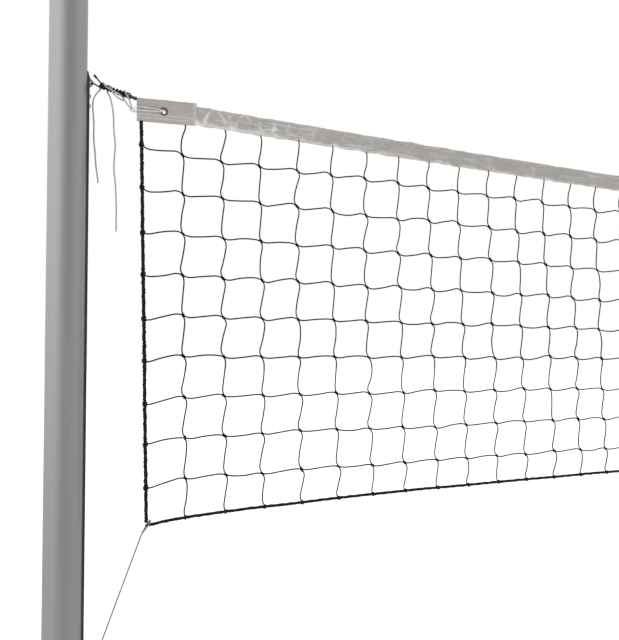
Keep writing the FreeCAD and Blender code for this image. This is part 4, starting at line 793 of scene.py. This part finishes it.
def cord_curve(name, route, width, slot, side="left", finish=None):
    """A smooth cord along a route, as one open spline."""
    curve = bpy.data.curves.new(name, "CURVE")
    curve.dimensions = "3D"
    curve.resolution_u = 6
    curve.bevel_depth = width / 2
    curve.bevel_resolution = 3
    curve.use_fill_caps = True
    spline = curve.splines.new("NURBS")
    spline.points.add(len(route) - 1)
    for spot, place in zip(spline.points, at_side(np.array(route) * MM, side)):
        spot.co = (*place, 1)
    spline.order_u = 3
    spline.use_endpoint_u = True
    curve.materials.append(finish or MATERIALS[slot])
    made = bpy.data.objects.new(name, curve)
    scene.collection.objects.link(made)
    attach(made, CARRIAGE)
    return made


def hitch(centre, side, seed):
    """A small knot: one cord that crosses itself three times, turned by its seed."""
    t = np.linspace(0, 1, 64, endpoint=False)
    angle = t * 2 * math.pi
    line = np.stack([np.sin(angle) + 2 * np.sin(2 * angle), np.cos(angle) - 2 * np.cos(2 * angle),
                     -np.sin(3 * angle)], axis=1) * HITCH_SIZE / 3.2
    line = line[:, [0, 2, 1]] if seed % 2 else line[:, [1, 0, 2]]
    closed = np.concatenate([line, line[:2]])
    place = at_side(np.array(centre) * MM, side)
    return tubes_along(closed + place, HITCH_CORD_R, 8)


def ties():
    """The lashing, the two tails, the right end's cable tie, and both ends' loops, corner lines and knots."""
    line = cord_curve("lashing_cord", LASHING_LINE, LINE_WIDTH, "lashing_black")
    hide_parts("lashing_line")
    short = cord_curve("short_tie_tail", SHORT_TAIL, TAIL_WIDTH, "tie_cord_light", finish=TAIL_FINISH)
    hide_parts("left_short_tail")
    long = cord_curve("long_tie_tail", LONG_TAIL, TAIL_WIDTH, "tie_cord_light", finish=TAIL_FINISH)
    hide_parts("left_long_tail")
    last = cord_curve("right_cable_tie", RIGHT_LINE, TIE_WIDTH, "tie_cord_light", "right")
    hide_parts("right_top_tie")
    for side in SIDES:
        wrap = cord_curve(f"{side}_grommet_loop", TIE_WRAP, TIE_WIDTH, "tie_cord_light", side)
        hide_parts(f"{side}_grommet_tie")
        low = cord_curve(f"{side}_corner_line", BOTTOM_TIE, CORNER_WIDTH, "tie_cord_grey", side)
        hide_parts(f"{side}_bottom_tie")
        parts = [hitch(centre, side, index) for index, centre in enumerate(KNOTS)]
        made = piece(f"{side}_hitches", joined(parts), "tie_cord_light")
        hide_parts(f"{side}_tie_knots")


def serving():
    """Black cord wound both ways round the two runs of the lashing."""
    start = np.array([0.0725, 0.0, 2.2592])
    end = np.array([0.1385, 0.0, 2.2432])
    along = (end - start) / np.linalg.norm(end - start)
    other = np.cross(along, [0.0, 1.0, 0.0])
    parts = []
    for hand, turns in ((1, 9), (-1, 8)):
        t = np.linspace(0, 1, turns * 14)
        angle = hand * t * turns * 2 * math.pi
        reach = (0.0053 + 0.0006 * np.sin(t * 21 + hand))[:, None]
        line = start + (end - start) * t[:, None]
        ring = np.array([0.0, 1.0, 0.0]) * np.cos(angle)[:, None] + other * np.sin(angle)[:, None]
        parts.append(tubes_along(line + ring * reach, SERVING_R, 6))
    piece("lashing_serving", joined(parts), "lashing_black")


ties()
serving()


# ---------------------------------------------------------------- studio

# Brightness round the horizon, from behind the camera by way of the left side: (share of a turn, level).
HORIZON = ((0.0, 0.35), (0.05, 0.42), (0.11, 0.74), (0.16, 1.06), (0.25, 1.04), (0.38, 0.95), (0.5, 1.2),
           (0.62, 0.75), (0.72, 0.55), (0.79, 0.62), (0.87, 0.58), (0.93, 0.42), (1.0, 0.35))
GROUND_LEVEL = 0.48
FLOOR_SIZE = 60.0
WINDOW_PLACE = (-2.6, -1.9, 2.3)
WINDOW_TARGET = (0.3, 0, 1.7)


def horizon_ramp(tree, direction):
    """The horizon's brightness in a direction, as a colour."""
    turn = add_node(tree, "Math")
    turn.operation = "ARCTAN2"
    tree.links.new(direction.outputs["X"], turn.inputs[0])
    tree.links.new(direction.outputs["Y"], turn.inputs[1])
    share = add_node(tree, "MapRange", Value=turn.outputs["Value"], From_Min=-math.pi, From_Max=math.pi)
    ramp = add_node(tree, "ValToRGB", Fac=share.outputs["Result"])
    stops = ramp.color_ramp.elements
    for stop, (position, level) in zip((stops[0], stops[1]), (HORIZON[0], HORIZON[-1])):
        stop.position = position
        stop.color = (level, level, level, 1)
    for position, level in HORIZON[1:-1]:
        stops.new(position).color = (level, level, level, 1)
    return ramp.outputs["Color"]


def surroundings():
    """Plain white to the camera. For the light, an uneven horizon above one level of grey below."""
    world = bpy.data.worlds.new("studio")
    scene.world = world
    world.use_nodes = True
    tree = world.node_tree
    tree.nodes.clear()
    place = add_node(tree, "TexCoord")
    direction = add_node(tree, "SeparateXYZ", Vector=place.outputs["Generated"])
    rise = add_node(tree, "MapRange", Value=direction.outputs["Z"], From_Min=-0.55, From_Max=0.4)
    level = add_node(tree, "Mix")
    level.data_type = "RGBA"
    level.inputs["A"].default_value = (GROUND_LEVEL, GROUND_LEVEL, GROUND_LEVEL, 1)
    tree.links.new(rise.outputs["Result"], level.inputs["Factor"])
    tree.links.new(horizon_ramp(tree, direction), level.inputs["B"])
    around = add_node(tree, "Background", Color=level.outputs["Result"])
    plain = add_node(tree, "Background", Color=(1, 1, 1, 1), Strength=1.0)
    seen = add_node(tree, "LightPath")
    blend = add_node(tree, "MixShader", Fac=seen.outputs["Is Camera Ray"])
    tree.links.new(around.outputs["Background"], blend.inputs[1])
    tree.links.new(plain.outputs["Background"], blend.inputs[2])
    add_node(tree, "OutputWorld", Surface=blend.outputs["Shader"])


def white_floor():
    """A large white floor just under the poles' feet, out of reflections."""
    material = bpy.data.materials.new("floor_white")
    material.use_nodes = True
    surface = material.node_tree.nodes["Principled BSDF"]
    surface.inputs["Base Color"].default_value = (0.9, 0.9, 0.9, 1)
    surface.inputs["Roughness"].default_value = 0.9
    surface.inputs["Specular IOR Level"].default_value = 0.0
    surface.inputs["Emission Color"].default_value = (1, 1, 1, 1)
    surface.inputs["Emission Strength"].default_value = 0.55
    mesh = bpy.data.meshes.new("floor")
    height = cad_low.z - 0.001
    corners = [(x * FLOOR_SIZE, y * FLOOR_SIZE, height) for x, y in ((-1, -1), (1, -1), (1, 1), (-1, 1))]
    mesh.from_pydata(corners, [], [(0, 1, 2, 3)])
    mesh.materials.append(material)
    floor = bpy.data.objects.new("floor", mesh)
    scene.collection.objects.link(floor)
    floor.visible_glossy = False


def window_light():
    """A tall soft window on the left, out of reflections."""
    window = bpy.data.lights.new("window", "AREA")
    window.shape = "RECTANGLE"
    window.size = 1.4
    window.size_y = 3.2
    window.energy = 45
    lamp = bpy.data.objects.new("window", window)
    lamp.location = WINDOW_PLACE
    lamp.rotation_mode = "QUATERNION"
    lamp.rotation_quaternion = (Vector(WINDOW_TARGET) - Vector(lamp.location)).to_track_quat("-Z", "Y")
    lamp.visible_glossy = False
    scene.collection.objects.link(lamp)


surroundings()
white_floor()
window_light()

# The camera's tilt above level, its roll and its heading, in degrees.
CAMERA_TILT = 1.86
CAMERA_ROLL = -0.12
CAMERA_HEADING = -23.06
camera_data = bpy.data.cameras.new("camera")
camera_data.lens = 45.0
camera_data.sensor_width = 36.0
camera = bpy.data.objects.new("camera", camera_data)
camera.location = (-0.205, -1.925, 1.642)
camera.rotation_euler = (math.radians(90 + CAMERA_TILT), math.radians(CAMERA_ROLL),
                         math.radians(CAMERA_HEADING))
scene.collection.objects.link(camera)
scene.camera = camera

bpy.context.view_layer.update()
